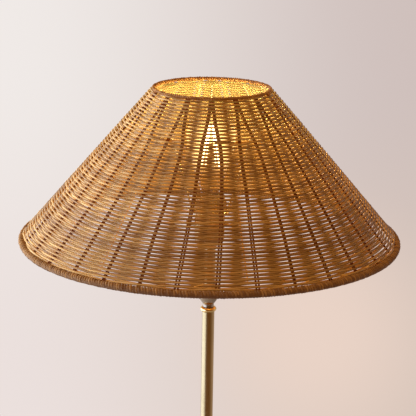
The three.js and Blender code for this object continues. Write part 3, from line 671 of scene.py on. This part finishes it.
def holder_shell():
    height = HOLDER_FOOT + SWITCH_HEIGHT * MM
    shell = [(16.9, 18), (18, 18), (18, 24.3), (19.3, 24.3), (HOLDER_RADIUS, 24.6), (HOLDER_RADIUS, 44.2),
             (19.35, 44.6), (19.35, 45.2), (HOLDER_RADIUS, 45.6), (HOLDER_RADIUS, 47.6), (20, 48), (22.6, 48),
             (23, 48.4), (23, 49.6), (22.6, 50), (20, 50), (HOLDER_RADIUS, 50.4)]
    shell += thread_waves(HOLDER_RADIUS, 19.1, 51.4, 69.4, 1.5)
    shell += [(HOLDER_RADIUS, 70.2), (18.8, 71), (HOLDER_BORE, 71), (HOLDER_BORE, 26), (16.9, 26)]
    bar = rod_mesh((-0.022, 0, height), (0.022, 0, height), 2.9 * MM)
    turned("turned_shell", shell, satin_brass, "holder_shell", HOLDER_FOOT, cuts=[bar])

    core = [(0, 9), (16.2, 9), (16.5, 9.3), (16.5, 26.3), (17.6, 26.3), (17.9, 26.6), (17.9, 63.2),
            (17.1, 64), (15.2, 64), (14.6, 63.4), (14.6, 43), (0, 43)]
    low, high = HOLDER_FOOT + 7 * MM, HOLDER_FOOT + 15 * MM
    holes = [rod_mesh((x, 0, low), (x, 0, high), 2.2 * MM, 24) for x in (-0.008, 0.008)]
    turned("socket_core", core, porcelain, "holder_insert", HOLDER_FOOT, cuts=[bar, *holes])

    sleeve = [(14.3, 43.3)] + thread_waves(14.3, 13.9, 44.5, 62, THREAD_PITCH)
    sleeve += [(14.3, 64.3), (15.7, 64.3), (15.9, 64.6), (15.9, 65.1), (15.7, 65.3), (14.1, 65.3),
               (13.6, 64.9), (13.5, 64.3)]
    sleeve += thread_waves(13.5, 13.7, 44.5, 62, THREAD_PITCH)[::-1] + [(13.5, 43.3)]
    turned("screw_shell", sleeve, bare_brass, "holder_screw_shell", HOLDER_FOOT)


def shade_ring():
    """The ring that holds the shade down: a grip of upright ribs over a plain flange."""
    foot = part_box("retaining_ring")[0].z
    bm = bmesh.new()
    count = 4 * RING_RIBS
    outer = []
    for i in range(count):
        reach = (RING_RADIUS if i % 4 in (0, 1) else RING_RADIUS - RING_RIB_DEPTH) * MM
        outer.append(bm.verts.new(outward(360 * i / count, reach, foot)))
    wall = bmesh.ops.extrude_face_region(bm, geom=[bm.faces.new(outer)])
    lifted = [v for v in wall["geom"] if isinstance(v, bmesh.types.BMVert)]
    bmesh.ops.translate(bm, vec=(0, 0, RING_HEIGHT * MM), verts=lifted)
    rims = [e for e in bm.edges if min(v.co.z for v in e.verts) > foot + 0.005]
    bmesh.ops.bevel(bm, geom=rims, offset=0.5 * MM, offset_type="OFFSET", segments=2, profile=0.5,
                    affect="EDGES", material=-1)
    bmesh.ops.recalc_face_normals(bm, faces=bm.faces)
    bore = rod_mesh((0, 0, foot - 0.01), (0, 0, foot + 0.02), RING_BORE * MM, BODY_SIDES)
    grip = cut_mesh(mesh_from(bm, "ribbed_ring", 30), [bore], 30)
    new_piece("ribbed_ring", grip, satin_brass, "ring", ["retaining_ring"])
    flange = [(RING_BORE, 0), (22.7, 0), (23, 0.3), (23, 1.6), (22.6, 2), (RING_BORE, 2)]
    turned("ring_flange", flange, satin_brass, foot=foot, body="ring")


def push_bar():
    half = [(2.5, 0), (2.5, 23.1), (3.7, 23.1), (4, 23.4), (4, 26.4)] + arc((2.3, 26.4), 1.7, 0, 90, 8)
    half.append((0, 28.1))
    whole = [(r, -z) for r, z in reversed(half)] + half
    place = (-3 * MM, 0, HOLDER_FOOT + SWITCH_HEIGHT * MM)
    bar = laid_along(turned_mesh("push_bar", whole, 0, 40), (1, 0, 0), place)
    new_piece("push_bar", bar, satin_brass, "switch", ["switch_bar"])


# Bulb; heights are above its contact

def bulb_cap():
    tip = [(0, 0), *arc((3.2, 1.4), 1.4, -90, 0, 6), (4.6, 1.6), (0, 1.6)]
    turned("bulb_tip", tip, zinc_steel, "bulb_contact", BULB_FOOT, "bulb", 48)
    turned("bulb_insulator", [(0, 1.9), (5.2, 1.9), (9.4, 3.8), (9.4, 4.4), (0, 4.4)], black_plastic,
           None, BULB_FOOT, "bulb", 64)
    cap = [(0, 4.4), (9.5, 4.0), (11.6, 4.6), (12.6, 5.3)] + thread_waves(12.4, 13.1, 5.8, 19.9, THREAD_PITCH)
    cap += [(12.5, 20.6), (12.7, 21.2), (12.9, 21.8), (13.1, 22.4), (13.1, 24.6), (12.8, 24.9), (12.5, 24.6),
            (12.5, 6.9), (0, 6.9)]
    turned("bulb_screw_cap", cap, zinc_steel, "bulb_cap", BULB_FOOT, "bulb")


def bulb_glass():
    outline = bend((BULB_NECK, 16.9), (BULB_NECK, 19), (BULB_NECK, 22), (BULB_NECK, 25.4), 3)
    outline += bend((BULB_NECK, 25.4), (13.7, 46.9), (BULB_RADIUS, 75), (BULB_RADIUS, 105), 36)[1:]
    outline += bend((BULB_RADIUS, 105), (BULB_RADIUS, 124), (13.44, BULB_LENGTH), (0, BULB_LENGTH), 28)[1:]
    blown = turned("blown_glass", shell_outline(outline, BULB_WALL), glass, "bulb_glass",
                   BULB_FOOT, "bulb")
    mount = [(0, 20.9), (11.1, 20.9), (11.1, 22.1)]
    mount += bend((6.6, 23.3), (3.6, 24.9), (2.6, 27.9), (2.6, 34.9), 14)
    mount += [(2.6, 56.6), (3.1, 57.6), (2.4, 58.7), (1.2, 59), (0, 59)]
    stem = turned("pressed_stem", mount, glass, "bulb_stem", BULB_FOOT, "bulb", 48)
    blown.visible_shadow = stem.visible_shadow = False


def filaments():
    """Four lit strips that lean in to one another, on wire spokes from a mast."""
    foot = BULB_FOOT / MM
    low, high = foot + SUPPORT_LOW, foot + SUPPORT_HIGH
    spokes = []
    for i in range(FILAMENTS):
        angle = 60 + 360 / FILAMENTS * i
        lower, upper = outward(angle, 13, low + 1), outward(angle, 3.3, high - 1)
        run = [tuple(a + (b - a) * t / 12 for a, b in zip(lower, upper)) for t in range(13)]
        wires(f"lit_strip_{i + 1}", [run], FILAMENT_RADIUS, lit_filament, "bulb",
              f"bulb_filament_{i + 1}")
        spokes.append([(0, 0, low), outward(angle, 6.5, low), outward(angle, 12.9, low + 0.1),
                       outward(angle, 13, low + 1.4)])
        spokes.append([(0, 0, high), outward(angle, 3.2, high - 0.1), outward(angle, 3.4, high - 1.4)])
    spokes.append([(0, 0, foot + 59.3), (0, 0, (low + high) / 2), (0, 0, high + 0.4)])
    wires("support_wires", spokes, 0.42, zinc_steel, "bulb", "bulb_support", 8)


# The shade's wire fitter

def fitter():
    turned("flat_ring", [(20.5, 0.3), (20.8, 0), (27.6, 0), (28, 0.4), (28, 1.2), (27.6, 1.6), (20.8, 1.6),
                         (20.5, 1.3)], cream_paint, "fitter_ring", body="shade")
    low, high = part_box("fitter_top_ring")
    reach = high.x / MM - FITTER_WIRE
    wrapped_hoop(reach, (low.z + high.z) / 2 / MM)
    for place, angle in (("back", 90), ("left", 210), ("right", 330)):
        node = "fitter_arm_" + place
        low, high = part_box(node)
        foot, head = low.z / MM + 0.5, high.z / MM - 0.5
        stops = ((25.6, foot), (26.6, foot + 1.2), (50, (foot + head) / 2 - 0.4), (reach - 0.3, head - 1.2),
                 (reach, head))
        run = [outward(angle, away, height) for away, height in stops]
        wires("sprung_" + node, [run], FITTER_WIRE, cream_paint, "shade", node)


# Shader nodes

class Value:
    """A node's output. Sums of values are written as usual."""

    def __init__(self, socket):
        self.socket = socket

    def __add__(self, other):
        return maths("ADD", self, other)

    def __sub__(self, other):
        return maths("SUBTRACT", self, other)

    def __mul__(self, other):
        return maths("MULTIPLY", self, other)


def feed(socket, source):
    """Joins a value to a socket, or sets the socket's own number."""
    if isinstance(source, Value):
        source.socket.id_data.links.new(source.socket, socket)
    else:
        socket.default_value = source


def add_node(kind, inputs, output=0, tree=None, **settings):
    """A new node's output. Its tree is named only where no value feeds it."""
    tree = tree or next(source.socket.id_data for source in inputs.values() if isinstance(source, Value))
    node = tree.nodes.new("ShaderNode" + kind)
    for name, setting in settings.items():
        setattr(node, name, setting)
    for label, source in inputs.items():
        feed(node.inputs[label], source)
    return Value(node.outputs[output])


def maths(operation, first, second=0.0, clamp=False):
    return add_node("Math", {0: first, 1: second}, operation=operation, use_clamp=clamp)


def blend(share, first, second, mode="MIX"):
    """Two colours mixed, multiplied or added, by a share from 0 to 1."""
    return add_node("Mix", {0: share, 6: first, 7: second}, 2, data_type="RGBA", blend_type=mode)


def span(value, low, high, new_low=0.0, new_high=1.0, kind="LINEAR"):
    """The value read on a scale from low to high, held at its ends."""
    return add_node("MapRange", {"Value": value, "From Min": low, "From Max": high, "To Min": new_low,
                                 "To Max": new_high}, interpolation_type=kind)


def ease(value, low, high, new_low=0.0, new_high=1.0):
    """The value read on such a scale with soft ends."""
    return span(value, low, high, new_low, new_high, "SMOOTHSTEP")


def noise(place, scale, detail=2.0, roughness=0.5):
    return add_node("TexNoise", {"Vector": place, "Scale": scale, "Detail": detail, "Roughness": roughness})


def stretched_noise(place, factors, detail, roughness=0.5):
    """Noise that runs along a strand."""
    return noise(add_node("VectorMath", {0: place, 1: factors}, operation="MULTIPLY"), 1.0, detail, roughness)


def attribute(tree, name, output="Fac"):
    """A value that a piece's mesh keeps for every vertex."""
    return add_node("Attribute", {}, output, tree, attribute_name=name)


def object_place(tree):
    return add_node("TexCoord", {}, "Object", tree)


def height_of(tree):
    return add_node("SeparateXYZ", {0: object_place(tree)}, "Z")


def level_noise(tree, scale):
    """Noise that changes only with height, as turning marks do."""
    return noise(add_node("CombineXYZ", {"Z": height_of(tree) * scale}), 1.0, 1.0)


def socket_group(name, inputs):
    """A node group with named inputs, of which the colours are four numbers."""
    group = bpy.data.node_groups.new(name, "ShaderNodeTree")
    for label, value in inputs.items():
        kind = "NodeSocketColor" if isinstance(value, tuple) else "NodeSocketFloat"
        group.interface.new_socket(label, in_out="INPUT", socket_type=kind).default_value = value
    return group, {socket.name: Value(socket) for socket in group.nodes.new("NodeGroupInput").outputs}


def close_group(group, **outputs):
    """The group, finished with its named outputs."""
    for label in outputs:
        kind = "NodeSocketColor" if label in ("Color", "Glow") else "NodeSocketFloat"
        group.interface.new_socket(label, in_out="OUTPUT", socket_type=kind)
    ends = group.nodes.new("NodeGroupOutput").inputs
    for label, value in outputs.items():
        feed(ends[label], value)
    return group


# Materials

def bulb_reach(tree):
    """How strongly the bulb's light arrives: less of it further away."""
    ends = {0: object_place(tree), 1: (0, 0, BULB_MIDDLE)}
    apart = add_node("VectorMath", ends, "Value", operation="DISTANCE")
    return maths("DIVIDE", GLOW_REACH, maths("MAXIMUM", apart, 0.05))


def beside_bulb(tree):
    """How far up or down from the filaments' middle, in metres."""
    return maths("ABSOLUTE", height_of(tree) - BULB_MIDDLE)


def tinted(colour, tint, strength):
    """Light that takes up a colour, of any strength."""
    light = {0: blend(1.0, colour, tint, "MULTIPLY"), "Scale": strength}
    return add_node("VectorMath", light, operation="SCALE")


def cane_group():
    """Rattan: each strand has its own tone, which drifts along it, with long fibres and knots; painted shade
    darkens its sides, and painted light brightens the side that faces the bulb.
    """
    tree, given = socket_group("cane_strand", {
        "Pale": WHITE, "Dark": BLACK, "Knot": BLACK, "Fibre": 0.3, "Drift": 0.5, "Sheen": 0.3,
        "Inner": WHITE, "Inner glow": 0.0, "Inner edge": 0.40, "Painted groove shade": 0.0})
    place = attribute(tree, "strand", "Vector")
    drift = (stretched_noise(place, (0.0, 0.0, 9.0), 3.0) - 0.5) * 2.2 * given["Drift"]
    shade = maths("ADD", attribute(tree, "tone"), drift, clamp=True)
    fibres = stretched_noise(place, (3.0, 3.0, 55.0), 3.0, 0.6)
    knots = span(stretched_noise(place, (0.3, 0.3, 34.0), 1.0), 0.70, 0.78)
    colour = blend(shade, given["Dark"], given["Pale"])
    colour = blend(span(fibres, 0.35, 0.72) * given["Fibre"], colour, given["Knot"])
    colour = blend(knots * 0.55, colour, given["Knot"])
    # Painted light: the side that faces the bulb takes the paler Inner colour, a lit copy of the cane.
    inner = blend(0.8, colour, given["Inner"])

    facing = attribute(tree, "inside")
    inside = span(facing, given["Inner edge"], given["Inner edge"] + 0.1)
    # Painted shade: each strand's sides, where it meets its neighbours, darken towards the knot colour.
    colour = blend(span(facing, 0.12, 0.38) * given["Painted groove shade"], colour, given["Knot"])
    # That side's base colour is dulled, and the bulb's light on it is painted as emission through Glow.
    dull_inner = blend(1.0, inner, (0.4, 0.4, 0.4, 1), "MULTIPLY")
    outer_glow, inner_glow = cane_glow(tree, colour, inner, given["Inner glow"])
    return close_group(
        tree, Color=blend(inside, colour, dull_inner),
        Roughness=span(fibres, 0.2, 0.8, 0.86, 0.76) - given["Sheen"],
        Height=fibres - knots, Glow=blend(inside, outer_glow, inner_glow))


def cane_glow(tree, colour, inner, inner_strength):
    """The bulb's light painted into the cane as emission: soaked through it, deep in the gaps, and on the
    inside; yellower near the bulb and more orange further away."""
    reach = bulb_reach(tree)
    far = span(reach, 0.30, 0.15)
    soaked = tinted(colour, (1.0, 0.50, 0.10, 1), reach)
    deep = reach * reach * (ease(attribute(tree, "depth"), 0.5, 0.72) * DEEP_GLOW)
    deep_tint = blend(far, (1.0, 0.66, 0.16, 1), (0.98, 0.46, 0.09, 1))
    inner_tint = blend(far, (0.78, 0.98, 0.50, 1), (1.10, 0.62, 0.16, 1))
    outer_glow = blend(1.0, soaked, tinted(colour, deep_tint, deep), "ADD")
    return outer_glow, tinted(inner, inner_tint, maths("POWER", reach, 0.35) * inner_strength)


def patina_group():
    """Aged metal: clouded tarnish, fine turning marks and small spots."""
    tree, given = socket_group("patina", {
        "Bright": WHITE, "Aged": BLACK, "Tarnish": 0.5, "Polish": 0.25, "Marks": 2600.0})
    clouds = noise(object_place(tree), 26.0, 4.0, 0.6)
    spots = noise(object_place(tree), 420.0)
    marks = level_noise(tree, given["Marks"])
    aged = span(clouds, 0.3, 0.7) + span(spots, 0.55, 0.75) * 0.35
    aged = maths("MULTIPLY", aged, given["Tarnish"], clamp=True)
    return close_group(
        tree, Color=blend(aged, given["Bright"], given["Aged"]),
        Roughness=given["Polish"] + aged * 0.16 + marks * 0.05, Height=marks + spots * 0.4)


def speckle_group():
    """Moulded, cast, pressed or glazed surfaces: two tones of fine grain."""
    tree, given = socket_group("speckle", {
        "First": WHITE, "Second": BLACK, "Grain": 900.0, "Roughness": 0.5, "Unevenness": 0.1})
    grain = noise(object_place(tree), given["Grain"], 3.0, 0.6)
    broad = noise(object_place(tree), 40.0, 3.0)
    share = span(grain * 0.6 + broad * 0.4, 0.35, 0.65)
    return close_group(
        tree, Color=blend(share, given["First"], given["Second"]),
        Roughness=given["Roughness"] + (grain - 0.5) * given["Unevenness"], Height=grain)


def blown_group():
    """Clear glass: faint waves and smears, and a painted glow round the filaments' height for the haze that a
    lit bulb shows.
    """
    tree, given = socket_group("blown_glass", {"Clear": WHITE, "Tinged": WHITE, "Painted haze": WHITE, "Smear": 0.02})
    waves = noise(object_place(tree), 30.0)
    smears = noise(object_place(tree), 90.0, 3.0)
    return close_group(
        tree, Color=blend(waves, given["Clear"], given["Tinged"]),
        Roughness=span(smears, 0.5, 0.75) * given["Smear"], Height=waves,
        Glow=blend(ease(beside_bulb(tree), 0.012, 0.04), given["Painted haze"], BLACK))


def phosphor_group():
    """The yellow coat of a lit filament: a fine grain, a little dimmer towards the two ends."""
    tree, given = socket_group("phosphor", {"Coat": WHITE, "Gap": BLACK, "Light": WHITE, "Ends": 0.7})
    grain = noise(object_place(tree), 1400.0)
    share = span(grain + level_noise(tree, 900.0), 0.8, 1.2)
    ends = ease(beside_bulb(tree), 0.018, 0.026, 1.0, given["Ends"])
    return close_group(
        tree, Color=blend(share, given["Coat"], given["Gap"]),
        Roughness=span(grain, 0.3, 0.7, 0.5, 0.7), Height=grain,
        Glow=blend(ends * span(share, 0.0, 1.0, 1.0, 0.85), BLACK, given["Light"]))


def finish(name, group, values, metallic=0.0, relief=0.2, depth=0.0002, coat=0.0, glow=0.0, own=()):
    """A material with one of the groups; own holds further values of the shader itself."""
    material = bpy.data.materials.new(name)
    material.use_nodes = True
    pattern = material.node_tree.nodes.new("ShaderNodeGroup")
    pattern.node_tree = group
    for label, value in values.items():
        pattern.inputs[label].default_value = (*value, 1) if isinstance(value, tuple) else value
    made = {socket.name: Value(socket) for socket in pattern.outputs}
    bump = add_node("Bump", {"Strength": relief, "Distance": depth, "Height": made["Height"]})
    shader = {"Base Color": made["Color"], "Roughness": made["Roughness"], "Normal": bump,
              "Metallic": metallic, "Coat Weight": coat, **dict(own)}
    if "Glow" in made:
        shader |= {"Emission Color": made["Glow"], "Emission Strength": glow}
    for label, source in shader.items():
        feed(material.node_tree.nodes["Principled BSDF"].inputs[label], source)
    return material


def metal(name, bright, aged, tarnish, polish, marks, relief):
    values = {"Bright": bright, "Aged": aged, "Tarnish": tarnish, "Polish": polish, "Marks": marks}
    return finish(name, patina, values, metallic=1.0, relief=relief, depth=0.0001)


def grained(name, first, second, grain, roughness, unevenness, **more):
    values = {"First": first, "Second": second, "Grain": grain, "Roughness": roughness,
              "Unevenness": unevenness}
    return finish(name, speckle, values, **more)


# Setting

def add_camera():
    data = bpy.data.cameras.new("camera")
    data.lens = CAMERA_LENS
    data.sensor_width = 36
    camera = placed("camera", data)
    camera.matrix_world = (Matrix.Translation(CAMERA_PLACE) @ Matrix.Rotation(radians(CAMERA_YAW), 4, "Z")
                           @ Matrix.Rotation(radians(90 - CAMERA_PITCH), 4, "X")
                           @ Matrix.Rotation(radians(CAMERA_ROLL), 4, "Z"))
    bpy.context.scene.camera = camera


def add_light(name, kind, place, power, colour):
    data = bpy.data.lights.new(name, kind)
    data.energy = power
    data.color = colour
    light = placed(name, data)
    light.location = place
    return light


def add_area(name, place, size, power, colour):
    light = add_light(name, "AREA", place, power, colour)
    light.data.shape = "RECTANGLE"
    light.data.size, light.data.size_y = size
    light.rotation_euler = (LIT_POINT - Vector(place)).to_track_quat("-Z", "Y").to_euler()
    return light


def add_lights():
    """The window's mirror image is left to the world, where it is broader and softer."""
    window = add_area("window", (-3.0, 0.8, 1.3), (1.4, 3.0), WINDOW_POWER, (0.92, 1.02, 1.12))
    window.visible_glossy = False
    add_area("ceiling", (-0.15, -1.2, 3.3), (1.2, 1.2), CEILING_POWER, (1.0, 0.62, 0.30))
    bulb = add_light("bulb_light", "POINT", (0, 0, BULB_MIDDLE), BULB_POWER, (1.0, 0.76, 0.34))
    bulb.data.shadow_soft_size = 0.012
    bulb.visible_camera = bulb.visible_glossy = bulb.visible_transmission = False


def linear(*screen):
    """A colour as it shows on a screen, 0 to 255, as the renderer's own values."""
    parts = [c / 255 for c in screen]
    return tuple(c / 12.92 if c <= 0.04045 else ((c + 0.055) / 1.055) ** 2.4 for c in parts) + (1.0,)


def pale_wall(x, z):
    """The wall behind the lamp, with painted light: lighter on the window's side, and a painted warm glow low
    down.
    """
    across = ease(x, -0.15, 0.15)
    upper = blend(across, linear(240, 234, 231), linear(207, 192, 188))
    lower = blend(across, linear(235, 224, 221), linear(215, 197, 186))
    wall = blend(ease(z, -0.16, -0.36), upper, lower)
    warm_x, warm_z = x - 0.075, z + 0.335
    apart = maths("SQRT", warm_x * warm_x + warm_z * warm_z)
    return blend(ease(apart, 0.01, 0.11, 0.75, 0.0), wall, linear(238, 214, 200))


def add_world():
    """The wall all round; metal and glass also mirror the dimmer room in front and a window."""
    world = bpy.data.worlds.new("room")
    world.use_nodes = True
    bpy.context.scene.world = world
    tree = world.node_tree
    facing = add_node("TexCoord", {}, "Generated", tree)
    x, y, z = (add_node("SeparateXYZ", {0: facing}, axis) for axis in "XYZ")
    camera, glossy, through = (add_node("LightPath", {}, f"Is {kind} Ray", tree)
                               for kind in ("Camera", "Glossy", "Transmission"))
    mirrored = maths("SUBTRACT", 1.0, camera)
    dimmed = maths("MAXIMUM", ease(y, 0.35, -0.75), ease(z, 0.15, 0.6)) * mirrored
    room = blend(dimmed, pale_wall(x, z), ROOM_FRONT)
    window = ease(x, -0.50, -0.78) * ease(y, 0.85, 0.50) * ease(z, 0.75, 0.45) * mirrored
    fill = tree.nodes["Background"]
    feed(fill.inputs["Color"], FILL_COLOUR)
    feed(fill.inputs["Strength"], FILL_STRENGTH)
    seen = add_node("Background", {"Color": blend(window, room, WINDOW_MIRRORED)})
    shown = maths("MAXIMUM", maths("MAXIMUM", camera, glossy), through)
    mix = add_node("MixShader", {0: shown, 1: Value(fill.outputs[0]), 2: seen})
    feed(tree.nodes["World Output"].inputs["Surface"], mix)


def add_floor():
    bm = bmesh.new()
    bmesh.ops.create_circle(bm, cap_ends=True, radius=FLOOR_RADIUS, segments=BODY_SIDES)
    floor = placed("floor", mesh_from(bm, "floor"))
    floor.data.materials.append(pale_floor)


# The lamp's materials

cane_pattern = cane_group()
patina = patina_group()
speckle = speckle_group()

# Each cane's glow sets the strength of the bulb's light painted into it as emission.
weft_cane = finish("weft_cane", cane_pattern, {
    "Pale": (0.71, 0.418, 0.135), "Dark": (0.33, 0.160, 0.038), "Knot": (0.10, 0.040, 0.008),
    "Fibre": 0.25, "Drift": 0.7, "Sheen": 0.32, "Inner": (0.66, 0.42, 0.17), "Inner glow": 3.1,
    "Painted groove shade": 0.6}, relief=0.04, glow=0.45, own={"Specular IOR Level": 0.5, "Sheen Weight": 0.15})
# The stakes' outer colours are painted near black, as the shade between the rows of weaving; their Inner
# colour is the paler lit side.
stake_cane = finish("stake_cane", cane_pattern, {
    "Pale": (0.165, 0.044, 0.007), "Dark": (0.09, 0.022, 0.004), "Knot": (0.04, 0.010, 0.002),
    "Fibre": 0.3, "Drift": 0.4, "Sheen": 0.15, "Inner": (0.66, 0.42, 0.17), "Inner glow": 0.78,
    "Inner edge": 0.56}, relief=0.1, glow=1.8, own={"Specular IOR Level": 0.15})
rib_cane = finish("rib_cane", cane_pattern, {
    "Pale": (0.80, 0.60, 0.34), "Dark": (0.66, 0.46, 0.23), "Knot": (0.40, 0.24, 0.10),
    "Fibre": 0.2, "Drift": 0.4, "Sheen": 0.2, "Inner": (0.78, 0.58, 0.32), "Inner glow": 1.7},
    relief=0.1, glow=0.9)
rim_cane = finish("rim_cane", cane_pattern, {
    "Pale": (0.42, 0.235, 0.092), "Dark": (0.18, 0.085, 0.026), "Knot": (0.08, 0.032, 0.010),
    "Fibre": 0.6, "Drift": 0.6, "Sheen": 0.12}, relief=0.5, glow=2.2)
glass = finish("bulb_glass", blown_group(), {
    "Clear": (1.0, 0.97, 0.92), "Tinged": (0.99, 0.95, 0.88), "Painted haze": (1.0, 0.72, 0.28), "Smear": 0.03},
    relief=0.02, glow=0.42, own={"IOR": 1.1, "Transmission Weight": 1.0})
lit_filament = finish("lit_filament", phosphor_group(), {
    "Coat": (1.0, 0.72, 0.30), "Gap": (0.86, 0.52, 0.16), "Light": (1.0, 0.80, 0.45), "Ends": 0.75}, glow=7.0)

satin_brass = metal(
    "satin_brass", (0.46, 0.32, 0.15), (0.26, 0.16, 0.06),
    tarnish=0.5, polish=0.42, marks=2400.0, relief=0.12)
antique_brass = metal(
    "antique_brass", (0.46, 0.335, 0.165), (0.34, 0.23, 0.095),
    tarnish=0.35, polish=0.27, marks=3000.0, relief=0.03)
bare_brass = metal(
    "bare_brass", (0.88, 0.64, 0.28), (0.60, 0.40, 0.16), tarnish=0.3, polish=0.10, marks=3600.0, relief=0.1)
polished_brass = metal(
    "polished_brass", (0.42, 0.33, 0.24), (0.18, 0.125, 0.08),
    tarnish=0.45, polish=0.14, marks=3600.0, relief=0.08)
zinc_steel = metal(
    "zinc_steel", (0.66, 0.66, 0.64), (0.40, 0.39, 0.37), tarnish=0.4, polish=0.28, marks=1800.0, relief=0.12)
cast_iron = grained(
    "cast_iron", (0.035, 0.034, 0.033), (0.075, 0.072, 0.068),
    grain=500.0, roughness=0.72, unevenness=0.25, metallic=0.3, relief=0.6, depth=0.0005)
pressed_felt = grained(
    "pressed_felt", (0.022, 0.021, 0.020), (0.05, 0.047, 0.044),
    grain=1500.0, roughness=0.95, unevenness=0.05, relief=0.9, depth=0.0006)
cream_paint = grained(
    "cream_paint", (0.60, 0.49, 0.31), (0.53, 0.42, 0.25), grain=700.0, roughness=0.42, unevenness=0.2)
porcelain = grained(
    "porcelain", (0.82, 0.80, 0.75), (0.76, 0.73, 0.68),
    grain=300.0, roughness=0.18, unevenness=0.08, relief=0.08, coat=0.4)
black_plastic = grained(
    "black_plastic", (0.018, 0.018, 0.018), (0.032, 0.031, 0.030),
    grain=1100.0, roughness=0.45, unevenness=0.2, relief=0.25)
white_plastic = grained(
    "white_plastic", (0.78, 0.76, 0.70), (0.70, 0.68, 0.62), grain=900.0, roughness=0.42, unevenness=0.15)
green_board = grained(
    "green_board", (0.02, 0.11, 0.04), (0.05, 0.18, 0.07),
    grain=1600.0, roughness=0.4, unevenness=0.2, relief=0.3)
pale_floor = grained(
    "pale_floor", (0.74, 0.68, 0.65), (0.70, 0.64, 0.61),
    grain=90.0, roughness=0.6, unevenness=0.1, relief=0.05)

# The lamp

weave_bands()
stakes()
inner_ribs()
wrapped_rim("bottom_rim_wrap", "shade_bottom_rim", WALL_LENGTH + 9.4 / 2, width=9.4, height=9.4, pitch=3.5)
wrapped_rim("top_rim_wrap", "shade_top_rim", 0.2 - 4.3 / 2, width=5.6, height=4.3, pitch=3.2)
for make in (loose_ends, base_cover, base_disc, lead_bush, pole_collar, pole_tubes, pole_joiners,
             bead_and_cup, holder_cap, holder_shell, shade_ring, push_bar, bulb_cap, bulb_glass, filaments,
             fitter):
    make()

for material, nodes in (
        (zinc_steel, ("base_nipple", "base_nut", "base_spacer", "base_washer", "foot_plug", "pole_top_plug",
                      "stem_rod")),
        (bare_brass, ("holder_contact", "terminal_screw_left", "terminal_screw_right")),
        (black_plastic, ("inner_lead",)), (white_plastic, ("terminal_block",)),
        (green_board, ("bulb_driver",))):
    for node in nodes:
        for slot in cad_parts[node].material_slots:
            slot.material = material

# The picture

bpy.context.scene.view_settings.view_transform = "Standard"
add_camera()
add_world()
add_floor()
add_lights()
